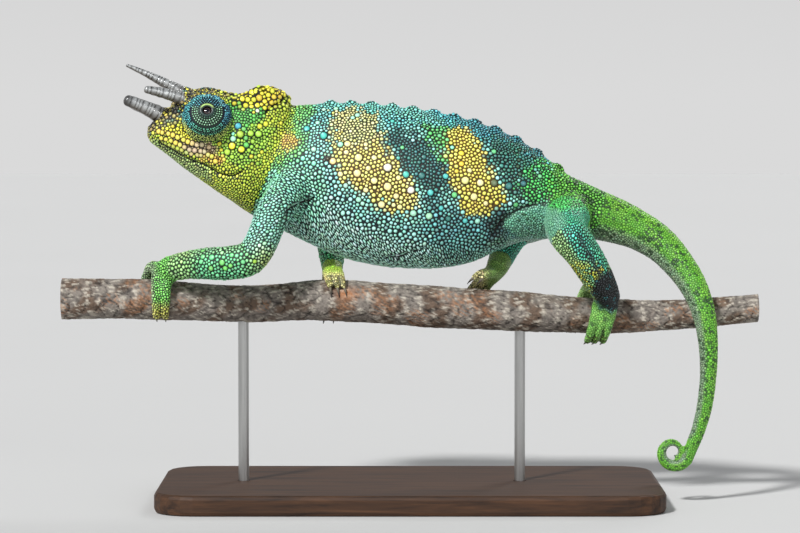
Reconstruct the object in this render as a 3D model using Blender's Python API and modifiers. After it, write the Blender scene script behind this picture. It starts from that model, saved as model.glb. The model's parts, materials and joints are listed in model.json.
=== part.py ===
"""A three-horned chameleon walking along a cut branch, held up by a plain display stand.

The animal faces -X and its left side faces -Y. +Z is up, and the origin is the middle of the
stand's underside. Tables are in millimetres. Every mesh is in metres.
"""

import math

import bmesh
import bpy
import numpy as np
from mathutils import Matrix, Vector
from mathutils.bvhtree import BVHTree

MM = 0.001
GAP = 0.3

# Display stand and branch
BASE_LENGTH = 150.0
BASE_WIDTH = 80.0
BASE_THICKNESS = 6.0
BASE_CORNER = 12.0
BASE_EDGE = 1.2
ROD_RADIUS = 1.6
ROD_DEPTH_IN_BRANCH = 3.0
ROD_DEPTH_IN_BASE = 3.5
RODS = {"stand_rod_front": -50.0, "stand_rod_rear": 33.0}
# x, height of the branch's axis, radius
BRANCH = (
    (-104.4, 60.8, 5.9),
    (-78.0, 60.5, 5.85),
    (-48.0, 59.3, 5.3),
    (-23.0, 60.2, 6.0),
    (20.0, 57.6, 6.0),
    (57.0, 55.7, 5.1),
    (81.0, 56.0, 4.3),
    (104.4, 58.0, 4.1),
)
BRANCH_SIDES = 16
BRANCH_STEPS = 4
BARK_SWELL = 0.035

# Trunk, neck and pelvis: x, top, bottom, half width
TRUNK = (
    (-47.0, 117.5, 88.0, 7.5),
    (-40.0, 118.6, 82.3, 9.2),
    (-33.0, 119.0, 78.6, 11.2),
    (-22.5, 119.6, 73.8, 13.4),
    (-11.0, 119.2, 70.8, 14.6),
    (1.0, 117.9, 69.7, 14.9),
    (11.0, 116.2, 70.1, 14.3),
    (19.5, 114.0, 72.0, 13.0),
    (27.0, 111.4, 75.6, 11.2),
    (34.5, 107.5, 78.0, 9.6),
    (42.0, 102.3, 78.8, 8.8),
    (49.5, 96.4, 79.0, 8.2),
)
TRUNK_KEEL = 0.42
TRUNK_BELLY = 0.06
TRUNK_SIDES = 28

# Tail: x, y, z, half depth. Its width is TAIL_WIDTH of its depth.
TAIL = (
    (44.0, 0.0, 90.2, 8.5),
    (52.5, 0.0, 86.9, 8.1),
    (61.5, 0.0, 84.2, 6.9),
    (69.0, -0.8, 81.0, 6.0),
    (75.6, -2.6, 76.6, 5.3),
    (81.3, -5.2, 70.0, 4.6),
    (85.2, -7.8, 63.4, 4.05),
    (87.6, -9.6, 55.9, 3.5),
    (88.7, -10.0, 46.9, 2.95),
    (88.7, -9.6, 37.9, 2.6),
    (87.7, -9.0, 28.9, 2.4),
    (85.9, -8.6, 21.8, 2.15),
)
CURL_CENTRE = (78.6, -8.2, 15.4)
CURL_RADIUS = 4.7
CURL_SHRINK = 0.43
CURL_START = -18.0
CURL_TURN = 412.0
CURL_STEPS = 26
CURL_SHIFT = 1.6
TAIL_END_DEPTH = (1.95, 0.42)
TAIL_WIDTH = 0.86
TAIL_SIDES = 12
TAIL_STEP = 3
# Fractions of the tail's rows where one length ends and the next begins
TAIL_CUTS = (0.16, 0.32, 0.46, 0.60, 0.76, 1.0)

# Head, drawn looking along -X with no tilt: x, top, bottom, half width
HEAD = (
    (-78.7, 112.2, 109.4, 1.8),
    (-77.3, 113.6, 107.4, 3.5),
    (-74.4, 116.0, 105.3, 5.2),
    (-71.1, 118.6, 102.7, 6.5),
    (-67.5, 120.8, 99.8, 7.5),
    (-63.0, 121.9, 96.6, 8.3),
    (-57.9, 122.2, 92.9, 9.4),
    (-53.4, 120.6, 90.0, 10.6),
    (-49.2, 120.8, 86.9, 10.7),
    (-45.6, 122.6, 84.9, 9.6),
    (-41.6, 123.3, 84.6, 8.4),
    (-38.6, 122.2, 88.0, 7.0),
    (-36.4, 119.6, 100.0, 4.8),
)
HEAD_KEEL = 0.1
HEAD_SQUARE = 0.6
HEAD_SIDES = 26
HEAD_PIVOT = Vector((-44.0, 0.0, 100.0))
HEAD_YAW = 6.0
HEAD_ROLL = 6.0
# Ridges of the head: x, y, z, radius; each has a mirrored twin
BROW = (
    (-71.0, 4.4, 117.6, 2.0),
    (-65.5, 5.8, 120.6, 2.4),
    (-60.0, 6.8, 121.8, 2.4),
    (-54.0, 6.6, 120.4, 2.0),
    (-49.5, 5.8, 120.4, 1.9),
    (-44.5, 4.4, 122.6, 2.3),
    (-38.8, 2.2, 121.8, 2.0),
    (-36.4, 0.4, 119.8, 1.6),
)
BROW_WIDTH = 0.6
# The mouth's line from the tip of the snout to the corner, then on through the cheek
MOUTH = (
    (-79.5, 111.1),
    (-76.9, 110.9),
    (-73.3, 110.0),
    (-71.6, 109.4),
    (-68.7, 108.2),
    (-67.3, 107.5),
    (-64.2, 106.9),
    (-60.7, 105.9),
    (-59.0, 104.8),
    (-57.5, 103.4),
    (-53.0, 101.2),
    (-48.0, 100.2),
    (-40.0, 100.0),
)
MOUTH_CORNER = 9
LIP_RADIUS = 0.85
NOSTRIL = (-72.6, 5.9, 113.6)
NOSTRIL_RADIUS = 0.75

# Eye turret, a turned shape: radius, height along its axis; the last rows line the hollow
TURRET = (
    (6.3, -2.2),
    (7.1, -1.2),
    (7.3, 0.4),
    (7.0, 2.2),
    (6.1, 4.0),
    (4.6, 5.3),
    (2.9, 6.1),
    (2.2, 6.6),
    (1.75, 6.6),
    (1.55, 6.2),
    (2.4, 5.2),
    (2.6, 3.6),
    (0.9, 1.9),
)
# Rows of the turret's outside, up to its rim, and how far its socket is cut beyond that
TURRET_RIM = 8
SOCKET_HEIGHT = 9.0
TURRET_CENTRE = (-61.1, 7.0, 115.7)
TURRET_TILT_UP = 29.0
TURRET_TURN_FORWARD = 3.0
TURRET_SIDES = 20
EYEBALL_RADIUS = 2.1
EYEBALL_DEPTH = 4.1

# Horns: root, tip, root radius, tip radius, how far the middle bows up
HORNS = {
    "horn_nose": ((-74.6, 0.0, 115.9), (-84.4, 0.0, 120.3), 2.4, 1.6, 0.2),
    "horn_left": ((-68.5, -5.3, 121.5), (-78.9, -7.1, 124.3), 1.9, 1.1, 0.2),
    "horn_right": ((-68.0, 5.2, 122.0), (-84.4, 8.0, 130.0), 1.9, 0.45, 0.4),
}
HORN_RING_PITCH = 1.7
HORN_RING_HEIGHT = 0.11
HORN_SIDES = 10
HORN_ROOT = 1.2
# A boss of flesh round each horn's root: reach back and forward of it, extra radius
HORN_BOSS = (4.5, 0.7, 0.75)

# Legs: x, y, z, radius along each bone
LEGS = {
    "arm_left": (
        (-30.5, 0.0, 100.0, 4.4),
        (-33.6, -5.5, 96.4, 6.0),
        (-37.4, -10.4, 91.8, 5.8),
        (-41.3, -14.5, 85.0, 5.2),
        (-44.2, -16.8, 77.8, 5.0),
        (-47.6, -16.8, 73.6, 5.2),
        (-53.5, -15.2, 72.3, 5.2),
        (-60.0, -12.6, 72.0, 4.9),
        (-66.0, -9.6, 71.4, 4.3),
        (-71.0, -6.4, 70.2, 4.0),
        (-74.2, -3.4, 68.6, 3.6),
    ),
    "arm_right": (
        (-31.0, 0.0, 98.0, 4.4),
        (-32.6, 7.0, 95.6, 6.0),
        (-31.6, 13.5, 92.4, 5.6),
        (-28.3, 19.4, 88.3, 4.9),
        (-25.4, 24.2, 84.0, 4.9),
        (-24.2, 22.0, 79.4, 4.9),
        (-23.8, 15.6, 74.8, 4.3),
        (-23.5, 9.0, 70.6, 3.5),
        (-23.3, 3.8, 68.4, 3.0),
    ),
    "leg_left": (
        (47.5, -1.5, 87.0, 7.2),
        (47.0, -8.0, 86.0, 7.0),
        (45.8, -16.0, 84.0, 6.4),
        (46.2, -22.0, 81.2, 5.9),
        (50.6, -21.0, 75.6, 5.4),
        (54.4, -17.2, 69.6, 5.0),
        (57.4, -13.0, 64.6, 4.3),
        (59.0, -9.8, 61.0, 3.9),
    ),
    "leg_right": (
        (47.5, 1.5, 87.0, 7.2),
        (44.0, 9.0, 85.6, 6.6),
        (37.5, 17.0, 82.6, 5.6),
        (32.4, 22.4, 80.0, 5.1),
        (29.6, 17.0, 76.2, 4.6),
        (27.6, 10.6, 72.2, 3.9),
        (26.0, 4.8, 69.2, 3.3),
    ),
}
LIMB_SIDES = 14

# Toe bundles that close round the branch. Angles are from straight up over the branch, lift
# is extra height off the bark at root and tip, and spread is the step between toes.
# side, toes, x root to tip, angle root to tip, lift root to tip, spread root to tip, radius
GRIPS = {
    "hand_left_outer": (-1, 2, (-74.0, -74.4), (22, 136), (2.0, 0.0), (3.0, 2.7), (2.1, 1.2)),
    "hand_left_inner": (1, 3, (-75.2, -81.6), (-8, 128), (2.4, 0.0), (1.7, 2.4), (2.0, 1.15)),
    "hand_right_inner": (-1, 3, (-23.2, -21.8), (4, 48), (1.0, 0.0), (1.6, 2.1), (1.9, 1.1)),
    "hand_right_outer": (1, 2, (-23.6, -24.4), (18, 142), (1.4, 0.0), (2.4, 2.9), (2.0, 1.15)),
    "foot_left_outer": (-1, 3, (58.6, 55.2), (52, 146), (2.6, 2.6), (2.3, 2.4), (2.0, 1.25)),
    "foot_left_inner": (1, 2, (57.0, 49.6), (-44, 126), (2.6, 0.0), (1.6, 2.6), (2.2, 1.2)),
    "foot_right_inner": (-1, 2, (24.8, 20.4), (-14, 20), (3.6, 3.3), (2.0, 2.7), (1.9, 1.15)),
    "foot_right_outer": (1, 3, (25.2, 19.6), (20, 66), (3.8, 3.0), (1.8, 2.3), (1.9, 1.15)),
}
TOE_STEPS = 9
TOE_SIDES = 10
CLAW_LENGTH = 2.5
CLAW_RADIUS = 0.58
CLAW_TIP = 0.14
CLAW_ROOT = 0.9
CLAW_SIDES = 5
CLAW_STEPS = 4

# Scalloped crest along the back
CREST_START = -23.8
CREST_END = 44.0
CREST_PITCH = 6.2
CREST_LOBE = (2.3, 1.25, 1.5)
CREST_SINK = 0.45

# Large round plates raised on both flanks and both temples: x, height, radius. Those of the
# head are placed before it is turned.
PLATES = {
    "torso_front": (
        (-25.5, 110.1, 1.15),
        (-20.5, 107.4, 1.1),
        (-15.1, 103.6, 1.2),
        (-10.7, 96.5, 1.1),
        (-6.8, 100.6, 1.15),
    ),
    "torso_rear": (
        (0.3, 93.8, 1.25),
        (6.2, 92.9, 1.1),
        (10.6, 97.9, 1.1),
        (16.2, 96.8, 1.15),
        (21.6, 95.9, 1.1),
    ),
    "head": (
        (-51.5, 111.3, 1.15),
        (-48.3, 111.4, 1.0),
        (-45.6, 111.1, 1.0),
        (-53.6, 107.7, 0.95),
        (-51.2, 106.5, 0.9),
    ),
}
# Share of the radius and rise off the skin, from a plate's foot to its top
PLATE_PROFILE = ((1.0, -0.5), (1.0, 0.1), (0.62, 0.42))
PLATE_SIDES = 6

# Skin surface: one mesh made of all the flesh, then parted with thin cuts
VOXEL = 0.6
SMOOTH_PASSES = 7
FLESH_TRIANGLES = 4600

# Cuts across the trunk: point, direction across the cut, half width, half height
NECK_CUT = ((-41.4, 0.0, 104.0), (1.0, 0.0, -0.38), 15.0, 24.0)
TRUNK_CUTS = (
    ((-35.6, 0.0, 102.5), (1.0, 0.0, -0.46), 22.0, 27.0),
    ((-2.1, 0.0, 94.0), (1.0, 0.0, 0.0), 22.0, 28.0),
    ((30.9, 0.0, 93.5), (1.0, 0.0, 0.12), 22.0, 24.0),
    ((56.4, 0.0, 85.4), (0.95, 0.0, -0.3), 14.0, 14.0),
)
# Cuts where each leg leaves the trunk: point, direction along the leg, radius
ROOT_CUTS = {
    "arm_left": ((-39.5, -12.0, 88.6), (-0.45, -0.55, -0.7), 7.6),
    "arm_right": ((-31.0, 15.4, 91.3), (0.3, 0.88, -0.36), 9.0),
    "leg_left": ((45.6, -10.4, 85.6), (-0.12, -0.98, -0.15), 10.5),
    "leg_right": ((42.4, 10.8, 85.2), (0.16, 0.98, -0.1), 10.5),
}
# Cuts at each elbow or knee, then at each wrist or ankle: place along the leg's rows, direction
JOINT_CUTS = {
    "arm_left": ((4.6, (-0.75, 0.05, -0.66)), (8.7, (-0.83, 0.53, -0.2))),
    "arm_right": ((4.1, (0.35, 0.1, -0.93)), (7.3, (0.0, -0.88, -0.48))),
    "leg_left": ((3.2, (0.35, -0.62, -0.7)), (6.3, (0.32, 0.55, -0.77))),
    "leg_right": ((3.2, (-0.7, -0.3, -0.63)), (5.2, (-0.2, -0.87, -0.45))),
}
JOINT_CUT_RADIUS = 11.0
# Between the two toe bundles of each foot: point, direction across the cut, radius
PALM_CUTS = {
    "hand_left": ((-76.2, -2.0, 68.6), (0.62, -0.78, -0.1), 12.0),
    "hand_right": ((-23.3, 1.6, 68.6), (0.0, -1.0, 0.0), 12.0),
    "foot_left": ((56.9, -7.6, 62.6), (0.62, -0.62, -0.48), 12.0),
    "foot_right": ((24.0, 4.6, 69.8), (0.1, -1.0, 0.0), 12.0),
}
# What each cut leaves: a point near the middle of each piece
BODY_PARTS = {
    "trunk": (0.0, 0.0, 100.0),
    "arm_left": (-55.0, -13.0, 72.0),
    "arm_right": (-24.0, 18.0, 76.0),
    "leg_left": (53.0, -15.0, 70.0),
    "leg_right": (28.0, 16.0, 75.0),
}
TRUNK_PARTS = {
    "skull": (-58.0, 0.0, 107.0),
    "neck": (-40.0, 0.0, 101.0),
    "torso_front": (-18.0, 0.0, 96.0),
    "torso_rear": (12.0, 0.0, 94.0),
    "pelvis": (43.0, 0.0, 89.0),
    "tail_1": (62.0, 0.0, 83.6),
}
SKULL_PARTS = {"head": (-58.0, 0.0, 112.0), "jaw": (-57.0, 0.0, 95.0)}
LEG_PARTS = {
    "arm_left": {
        "upper_arm_left": (-42.5, -15.0, 81.5),
        "forearm_left": (-58.0, -13.0, 72.0),
        "hand_left": (-77.0, 0.0, 65.0),
    },
    "arm_right": {
        "upper_arm_right": (-27.0, 21.0, 87.5),
        "forearm_right": (-23.8, 17.0, 76.0),
        "hand_right": (-24.0, 4.0, 66.0),
    },
    "leg_left": {
        "thigh_left": (46.0, -17.5, 83.2),
        "shank_left": (53.0, -18.0, 71.0),
        "foot_left": (54.0, -3.0, 58.0),
    },
    "leg_right": {
        "thigh_right": (37.5, 17.0, 83.0),
        "shank_right": (29.0, 15.0, 75.0),
        "foot_right": (23.0, 4.0, 68.0),
    },
}
FOOT_PARTS = {
    "hand_left": {
        "hand_left_outer": (-74.0, -6.5, 63.0),
        "hand_left_inner": (-79.0, 5.5, 64.0),
    },
    "hand_right": {
        "hand_right_inner": (-22.5, -2.2, 67.8),
        "hand_right_outer": (-24.0, 6.5, 62.0),
    },
    "foot_left": {
        "foot_left_outer": (57.0, -9.0, 55.5),
        "foot_left_inner": (52.0, 3.0, 60.5),
    },
    "foot_right": {
        "foot_right_inner": (22.5, -0.6, 68.8),
        "foot_right_outer": (22.5, 8.4, 67.0),
    },
}

COLOURS = {
    "head_skin": (0.42, 0.52, 0.07),
    "body_skin": (0.10, 0.42, 0.36),
    "limb_skin": (0.22, 0.52, 0.33),
    "tail_skin": (0.16, 0.42, 0.07),
    "eye_skin": (0.10, 0.40, 0.42),
    "eyeball": (0.02, 0.015, 0.02),
    "horn": (0.42, 0.41, 0.37),
    "branch": (0.24, 0.19, 0.15),
    "stand": (0.06, 0.055, 0.05),
    "rod": (0.55, 0.55, 0.56),
}
METALS = ("rod",)


def clear_scene():
    for obj in list(bpy.data.objects):
        bpy.data.objects.remove(obj, do_unlink=True)


def new_collection(name):
    made = bpy.data.collections.new(name)
    bpy.context.scene.collection.children.link(made)
    return made


def material(name):
    made = bpy.data.materials.get(name)
    if made is None:
        made = bpy.data.materials.new(name)
        made.use_nodes = True
        shader = made.node_tree.nodes["Principled BSDF"]
        shader.inputs["Base Color"].default_value = (*COLOURS[name], 1.0)
        shader.inputs["Roughness"].default_value = 0.3 if name in METALS else 0.55
        shader.inputs["Metallic"].default_value = 1.0 if name in METALS else 0.0
    return made


def smooth_rows(rows, steps):
    """The rows with steps - 1 more between each two, on a Catmull-Rom curve in every column."""
    rows = np.array(rows, float)
    padded = np.vstack([2 * rows[0] - rows[1], rows, 2 * rows[-1] - rows[-2]])
    found = []
    for i in range(1, len(padded) - 2):
        a, b, c, d = padded[i - 1 : i + 3]
        for step in range(steps):
            t = step / steps
            bend = (2 * a - 5 * b + 4 * c - d) * t**2 + (3 * b - 3 * c + d - a) * t**3
            found.append(0.5 * (2 * b + (c - a) * t + bend))
    found.append(rows[-1])
    return np.array(found)


def new_mesh(name, shells):
    """An object whose mesh holds closed shells, each a list of rings of points in millimetres."""
    bm = bmesh.new()
    for rings in shells:
        loops = [[bm.verts.new(Vector(p) * MM) for p in ring] for ring in rings]
        for one, two in zip(loops, loops[1:]):
            for i in range(len(one)):
                j = (i + 1) % len(one)
                bm.faces.new((one[i], one[j], two[j], two[i]))
        bm.faces.new(reversed(loops[0]))
        bm.faces.new(loops[-1])
    bmesh.ops.recalc_face_normals(bm, faces=bm.faces)
    mesh = bpy.data.meshes.new(name)
    bm.to_mesh(mesh)
    bm.free()
    return bpy.data.objects.new(name, mesh)


def circle(centre, side, up, half_side, half_up, sides, keel=0.0, belly=0.0, square=1.0):
    """An oval ring that narrows towards its top by keel and towards its bottom by belly.

    A power in square under one makes its upper half boxy.
    """
    ring = []
    for i in range(sides):
        angle = 2 * math.pi * i / sides
        across, height = math.cos(angle), math.sin(angle)
        if height > 0:
            across = math.copysign(abs(across) ** square, across)
            height = height**square
        narrow = 1 - keel * max(height, 0) ** 2 - belly * max(-height, 0) ** 2
        ring.append(centre + side * (half_side * across * narrow) + up * (half_up * height))
    return ring


def upright_rings(rows, steps, sides, keel, belly=0.0, square=1.0, place=None):
    """Upright rings square to X. A row holds x, top, bottom and half width."""
    rings = []
    for x, top, bottom, half_width in smooth_rows(rows, steps):
        centre = Vector((x, 0, (top + bottom) / 2))
        half_height = (top - bottom) / 2
        across, up = Vector((0, 1, 0)), Vector((0, 0, 1))
        ring = circle(centre, across, up, half_width, half_height, sides, keel, belly, square)
        rings.append([place @ p for p in ring] if place else ring)
    return rings


def tube_rings(rows, sides, width=1.0, sideways=(0, 1, 0), place=None):
    """Rings square to a path. A row holds x, y, z and half depth; width is a share of that."""
    points = [Vector(row[:3]) for row in rows]
    rings = []
    side = Vector(sideways)
    for i, row in enumerate(rows):
        along = (points[min(i + 1, len(rows) - 1)] - points[max(i - 1, 0)]).normalized()
        side = (side - along * side.dot(along)).normalized()
        up = along.cross(side)
        ring = circle(points[i], side, up, row[3] * width, row[3], sides)
        rings.append([place @ p for p in ring] if place else ring)
    return rings


def evaluated(obj):
    """The object's mesh as its modifiers leave it, with no modifiers."""
    graph = bpy.context.evaluated_depsgraph_get()
    graph.update()
    mesh = bpy.data.meshes.new_from_object(obj.evaluated_get(graph))
    old = obj.data
    obj.modifiers.clear()
    obj.data = mesh
    bpy.data.meshes.remove(old)
    return obj


def boolean(obj, operation, others, solver="EXACT"):
    """Cuts or joins obj with the others, applies it, and removes them."""
    if not others:
        return obj
    group = new_collection("operands")
    bench = new_collection("bench")
    bench.objects.link(obj)
    for other in others:
        group.objects.link(other)
    modifier = obj.modifiers.new(operation.lower(), "BOOLEAN")
    modifier.operation = operation
    modifier.operand_type = "COLLECTION"
    modifier.collection = group
    modifier.solver = solver
    bpy.context.view_layer.update()
    evaluated(obj)
    for other in others:
        bpy.data.objects.remove(other, do_unlink=True)
    bench.objects.unlink(obj)
    bpy.data.collections.remove(group)
    bpy.data.collections.remove(bench)
    return obj


def loose_parts(obj):
    """Splits the object's mesh into its closed surfaces, as lists of vertices and faces."""
    bm = bmesh.new()
    bm.from_mesh(obj.data)
    bmesh.ops.triangulate(bm, faces=bm.faces)
    parts = []
    left = set(bm.verts)
    while left:
        island, edge = set(), [left.pop()]
        while edge:
            vert = edge.pop()
            island.add(vert)
            for link in vert.link_edges:
                other = link.other_vert(vert)
                if other in left:
                    left.discard(other)
                    edge.append(other)
        ordered = sorted(island, key=lambda v: v.index)
        index = {v: i for i, v in enumerate(ordered)}
        faces = sorted({f for v in ordered for f in v.link_faces}, key=lambda f: f.index)
        points = [v.co.copy() for v in ordered]
        parts.append((points, [[index[v] for v in f.verts] for f in faces]))
    bm.free()
    return parts


def object_of(name, points, faces):
    mesh = bpy.data.meshes.new(name)
    mesh.from_pydata(points, [], faces)
    mesh.update()
    return bpy.data.objects.new(name, mesh)


def keep_largest(obj):
    """Leaves only the closed surface with the most faces."""
    points, faces = max(loose_parts(obj), key=lambda part: len(part[1]))
    made = object_of(obj.name + "_kept", points, faces)
    old = obj.data
    obj.data = made.data
    bpy.data.objects.remove(made)
    bpy.data.meshes.remove(old)
    return obj


def finish(obj, group, colour):
    """Names the mesh, gives it its material and smooth shading, and files it in the group."""
    obj.data.materials.clear()
    obj.data.materials.append(material(colour))
    obj.data.shade_smooth()
    obj.data.set_sharp_from_angle(angle=math.radians(50))
    group.objects.link(obj)
    return obj


def slab(point, direction, half_width, half_height, place=None):
    """A thin box square to direction, standing on edge, that parts the flesh by GAP."""
    thin = Vector(direction).normalized()
    across = thin.cross(Vector((0, 0, 1)))
    across = (across if across.length > 0.1 else thin.cross(Vector((0, 1, 0)))).normalized()
    up = across.cross(thin)
    centre = Vector(point)
    rings = []
    for side in (-GAP / 2, GAP / 2):
        corners = ((-1, -1), (1, -1), (1, 1), (-1, 1))
        ring = [
            centre + thin * side + across * (a * half_width) + up * (b * half_height)
            for a, b in corners
        ]
        rings.append([place @ p for p in ring] if place else ring)
    return new_mesh("slab", [rings])


def disc(point, direction, radius):
    """A thin round cutter square to direction."""
    thin = Vector(direction).normalized()
    side = thin.orthogonal().normalized()
    up = thin.cross(side)
    rings = [
        circle(Vector(point) + thin * offset, side, up, radius, radius, 20)
        for offset in (-GAP / 2, GAP / 2)
    ]
    return new_mesh("disc", [rings])


def head_matrix():
    turn = Matrix.Rotation(math.radians(HEAD_YAW), 4, "Z")
    tilt = Matrix.Rotation(math.radians(HEAD_ROLL), 4, "X")
    to_pivot = Matrix.Translation(HEAD_PIVOT)
    return to_pivot @ turn @ tilt @ to_pivot.inverted()


def mirrored(rows):
    return [(row[0], -row[1], *row[2:]) for row in rows]


def branch_at(x):
    """Height of the branch's axis and its radius at x."""
    table = np.array(BRANCH)
    return tuple(np.interp(x, table[:, 0], table[:, i]) for i in (1, 2))


def branch_rings(extra):
    """The branch's rings, knobbly by a few waves, and thicker all over by extra."""
    rings = []
    for x, height, radius in smooth_rows(BRANCH, BRANCH_STEPS):
        ring = []
        for i in range(BRANCH_SIDES):
            angle = 2 * math.pi * i / BRANCH_SIDES
            swell = math.sin(3 * angle + 0.11 * x) + math.sin(2 * angle - 0.23 * x)
            r = radius * (1 + BARK_SWELL * swell / 2) + extra
            ring.append(Vector((x, r * math.cos(angle), height + r * math.sin(angle))))
        rings.append(ring)
    return rings


def toe_paths(grip):
    """One path for each toe of a bundle, closing round the branch: x, y, z, radius."""
    side, toes, xs, angles, lifts, spreads, radii = grip
    paths = []
    for toe in range(toes):
        offset = toe - (toes - 1) / 2
        path = []
        for step in range(TOE_STEPS):
            t = step / (TOE_STEPS - 1)
            middle = xs[0] + (xs[1] - xs[0]) * t
            x = middle + offset * (spreads[0] + (spreads[1] - spreads[0]) * t)
            radius = radii[0] + (radii[1] - radii[0]) * t**0.8
            height, bark = branch_at(x)
            reach = bark + radius + lifts[0] + (lifts[1] - lifts[0]) * t
            angle = math.radians(angles[0] + (angles[1] - angles[0]) * t)
            y = side * reach * math.sin(angle)
            path.append((x, y, height + reach * math.cos(angle), radius))
        paths.append(path)
    return paths


def rounded_end(path):
    """The path with its last row tapered to a blunt, rounded tip."""
    last = Vector(path[-1][:3])
    along = (last - Vector(path[-2][:3])).normalized()
    radius = path[-1][3]
    tip = [(*(last + along * radius * reach), radius * size) for reach, size in ((0.6, 0.8), (0.95, 0.35))]
    return list(path) + tip


def claw_rings(path, grip):
    """A claw that carries on from a toe's tip and hooks a little towards the branch."""
    last = Vector(path[-1][:3])
    along = (last - Vector(path[-2][:3])).normalized()
    height, _ = branch_at(last.x)
    inward = (Vector((last.x, 0, height)) - last).normalized()
    rows = []
    for step in range(CLAW_STEPS + 1):
        t = step / CLAW_STEPS
        reach = -CLAW_ROOT + (CLAW_LENGTH + CLAW_ROOT) * t
        point = last + along * (path[-1][3] * 0.7 + reach) + inward * (0.25 + 0.75 * t * t)
        rows.append((*point, CLAW_RADIUS + (CLAW_TIP - CLAW_RADIUS) * t))
    return tube_rings(rows, CLAW_SIDES, sideways=(1, 0, 0))


def curl_rows():
    """The end of the tail, a spiral worked out by angle."""
    rows = []
    for step in range(1, CURL_STEPS + 1):
        t = step / CURL_STEPS
        sweep = math.radians(CURL_TURN) * t
        angle = math.radians(CURL_START) - sweep
        radius = CURL_RADIUS - CURL_SHRINK * sweep
        depth = TAIL_END_DEPTH[0] + (TAIL_END_DEPTH[1] - TAIL_END_DEPTH[0]) * t**1.15
        x = CURL_CENTRE[0] + radius * math.cos(angle)
        z = CURL_CENTRE[2] + radius * math.sin(angle)
        rows.append((x, CURL_CENTRE[1] + CURL_SHIFT * t, z, depth))
    return rows


def tail_rows():
    return np.vstack([smooth_rows(TAIL, TAIL_STEP), curl_rows()])


def leg_rows(name):
    return smooth_rows(LEGS[name], 4)


def lip_rows(side):
    """The upper lip, a ridge along the mouth line on one side of the head."""
    widths = np.array(HEAD)
    rows = []
    for x, z in MOUTH[1 : MOUTH_CORNER + 1]:
        half_width = np.interp(x, widths[:, 0], widths[:, 3])
        top, bottom = (np.interp(x, widths[:, 0], widths[:, i]) for i in (1, 2))
        level = (z - (top + bottom) / 2) / ((top - bottom) / 2)
        y = half_width * math.sqrt(max(0.05, 1 - level**2))
        rows.append((x, side * (y - LIP_RADIUS * 0.45), z + LIP_RADIUS, LIP_RADIUS))
    return rows


def flesh_shells(place):
    """Closed shells of all the flesh, overlapping where they meet."""
    shells = [
        upright_rings(TRUNK, 3, TRUNK_SIDES, TRUNK_KEEL, TRUNK_BELLY),
        upright_rings(HEAD, 3, HEAD_SIDES, HEAD_KEEL, square=HEAD_SQUARE, place=place),
        tube_rings(smooth_rows(TAIL[:5], TAIL_STEP), TAIL_SIDES, TAIL_WIDTH),
    ]
    for rows in (BROW, mirrored(BROW)):
        shells.append(tube_rings(smooth_rows(rows, 3), 8, BROW_WIDTH, place=place))
    for side in (-1, 1):
        shells.append(tube_rings(smooth_rows(lip_rows(side), 2), 8, place=place))
    shells += [boss_rings(name, place) for name in HORNS]
    for name in LEGS:
        sideways = (1, 0, 0) if name != "arm_left" else (0, 0, 1)
        shells.append(tube_rings(leg_rows(name), LIMB_SIDES, sideways=sideways))
    for name, grip in GRIPS.items():
        root = LEGS[name.replace("hand", "arm").replace("foot", "leg").rsplit("_", 1)[0]][-1]
        for path in toe_paths(grip):
            reached = [tuple(root[:3]) + (path[0][3],)] + path
            shells.append(tube_rings(rounded_end(reached), TOE_SIDES, sideways=(1, 0, 0)))
    return shells


def make_flesh(place):
    """One smooth closed mesh of all the flesh."""
    body = new_mesh("flesh", flesh_shells(place))
    bench = new_collection("bench")
    bench.objects.link(body)
    remesh = body.modifiers.new("one surface", "REMESH")
    remesh.mode = "VOXEL"
    remesh.voxel_size = VOXEL * MM
    smooth = body.modifiers.new("soft joins", "SMOOTH")
    smooth.factor = 0.5
    smooth.iterations = SMOOTH_PASSES
    evaluated(body)
    thin = body.modifiers.new("fewer faces", "DECIMATE")
    thin.ratio = FLESH_TRIANGLES / (2 * len(body.data.polygons))
    thin.use_collapse_triangulate = True
    evaluated(body)
    bench.objects.unlink(body)
    bpy.data.collections.remove(bench)
    return body


def joint_cutters(name):
    """Cutters at a leg's elbow or knee, and at its wrist or ankle."""
    rows = smooth_rows(LEGS[name], 20)
    points = [(rows[round(place * 20)][:3], along) for place, along in JOINT_CUTS[name]]
    return [disc(point, along, JOINT_CUT_RADIUS) for point, along in points]


def mouth_cutter(place):
    """A thin sheet along the line of the mouth, as wide as the head."""
    rings = []
    for x, z in smooth_rows(MOUTH, 3):
        corners = ((-1, -1), (1, -1), (1, 1), (-1, 1))
        rings.append([place @ Vector((x, 14 * a, z + b * GAP / 2)) for a, b in corners])
    return new_mesh("mouth", [rings])


def trunk_cutters():
    return [slab(*cut) for cut in TRUNK_CUTS]


def row_direction(rows, i):
    """The way a path runs at one of its rows."""
    return (Vector(rows[i + 1][:3]) - Vector(rows[i - 1][:3])).normalized()


def tail_trim():
    """A block that takes away the tail beyond its first length."""
    rows = tail_rows()
    i = round(TAIL_CUTS[0] * (len(rows) - 1))
    along = row_direction(rows, i)
    start = Vector(rows[i][:3]) - along * (GAP / 2)
    side = along.orthogonal().normalized()
    up = along.cross(side)
    rings = [circle(start + along * reach, side, up, 12, 12, 12) for reach in (0, 30)]
    return new_mesh("trim", [rings])


def turret_frame(side, place):
    """A turret's place: its +Z is the way the eye looks."""
    x, y, z = TURRET_CENTRE
    turn = Matrix.Rotation(math.radians(-side * TURRET_TURN_FORWARD), 4, "Z")
    lay = Matrix.Rotation(math.radians(side * (90 - TURRET_TILT_UP)), 4, "X")
    return place @ Matrix.Translation((x, side * y, z)) @ turn.inverted() @ lay.inverted()


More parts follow.
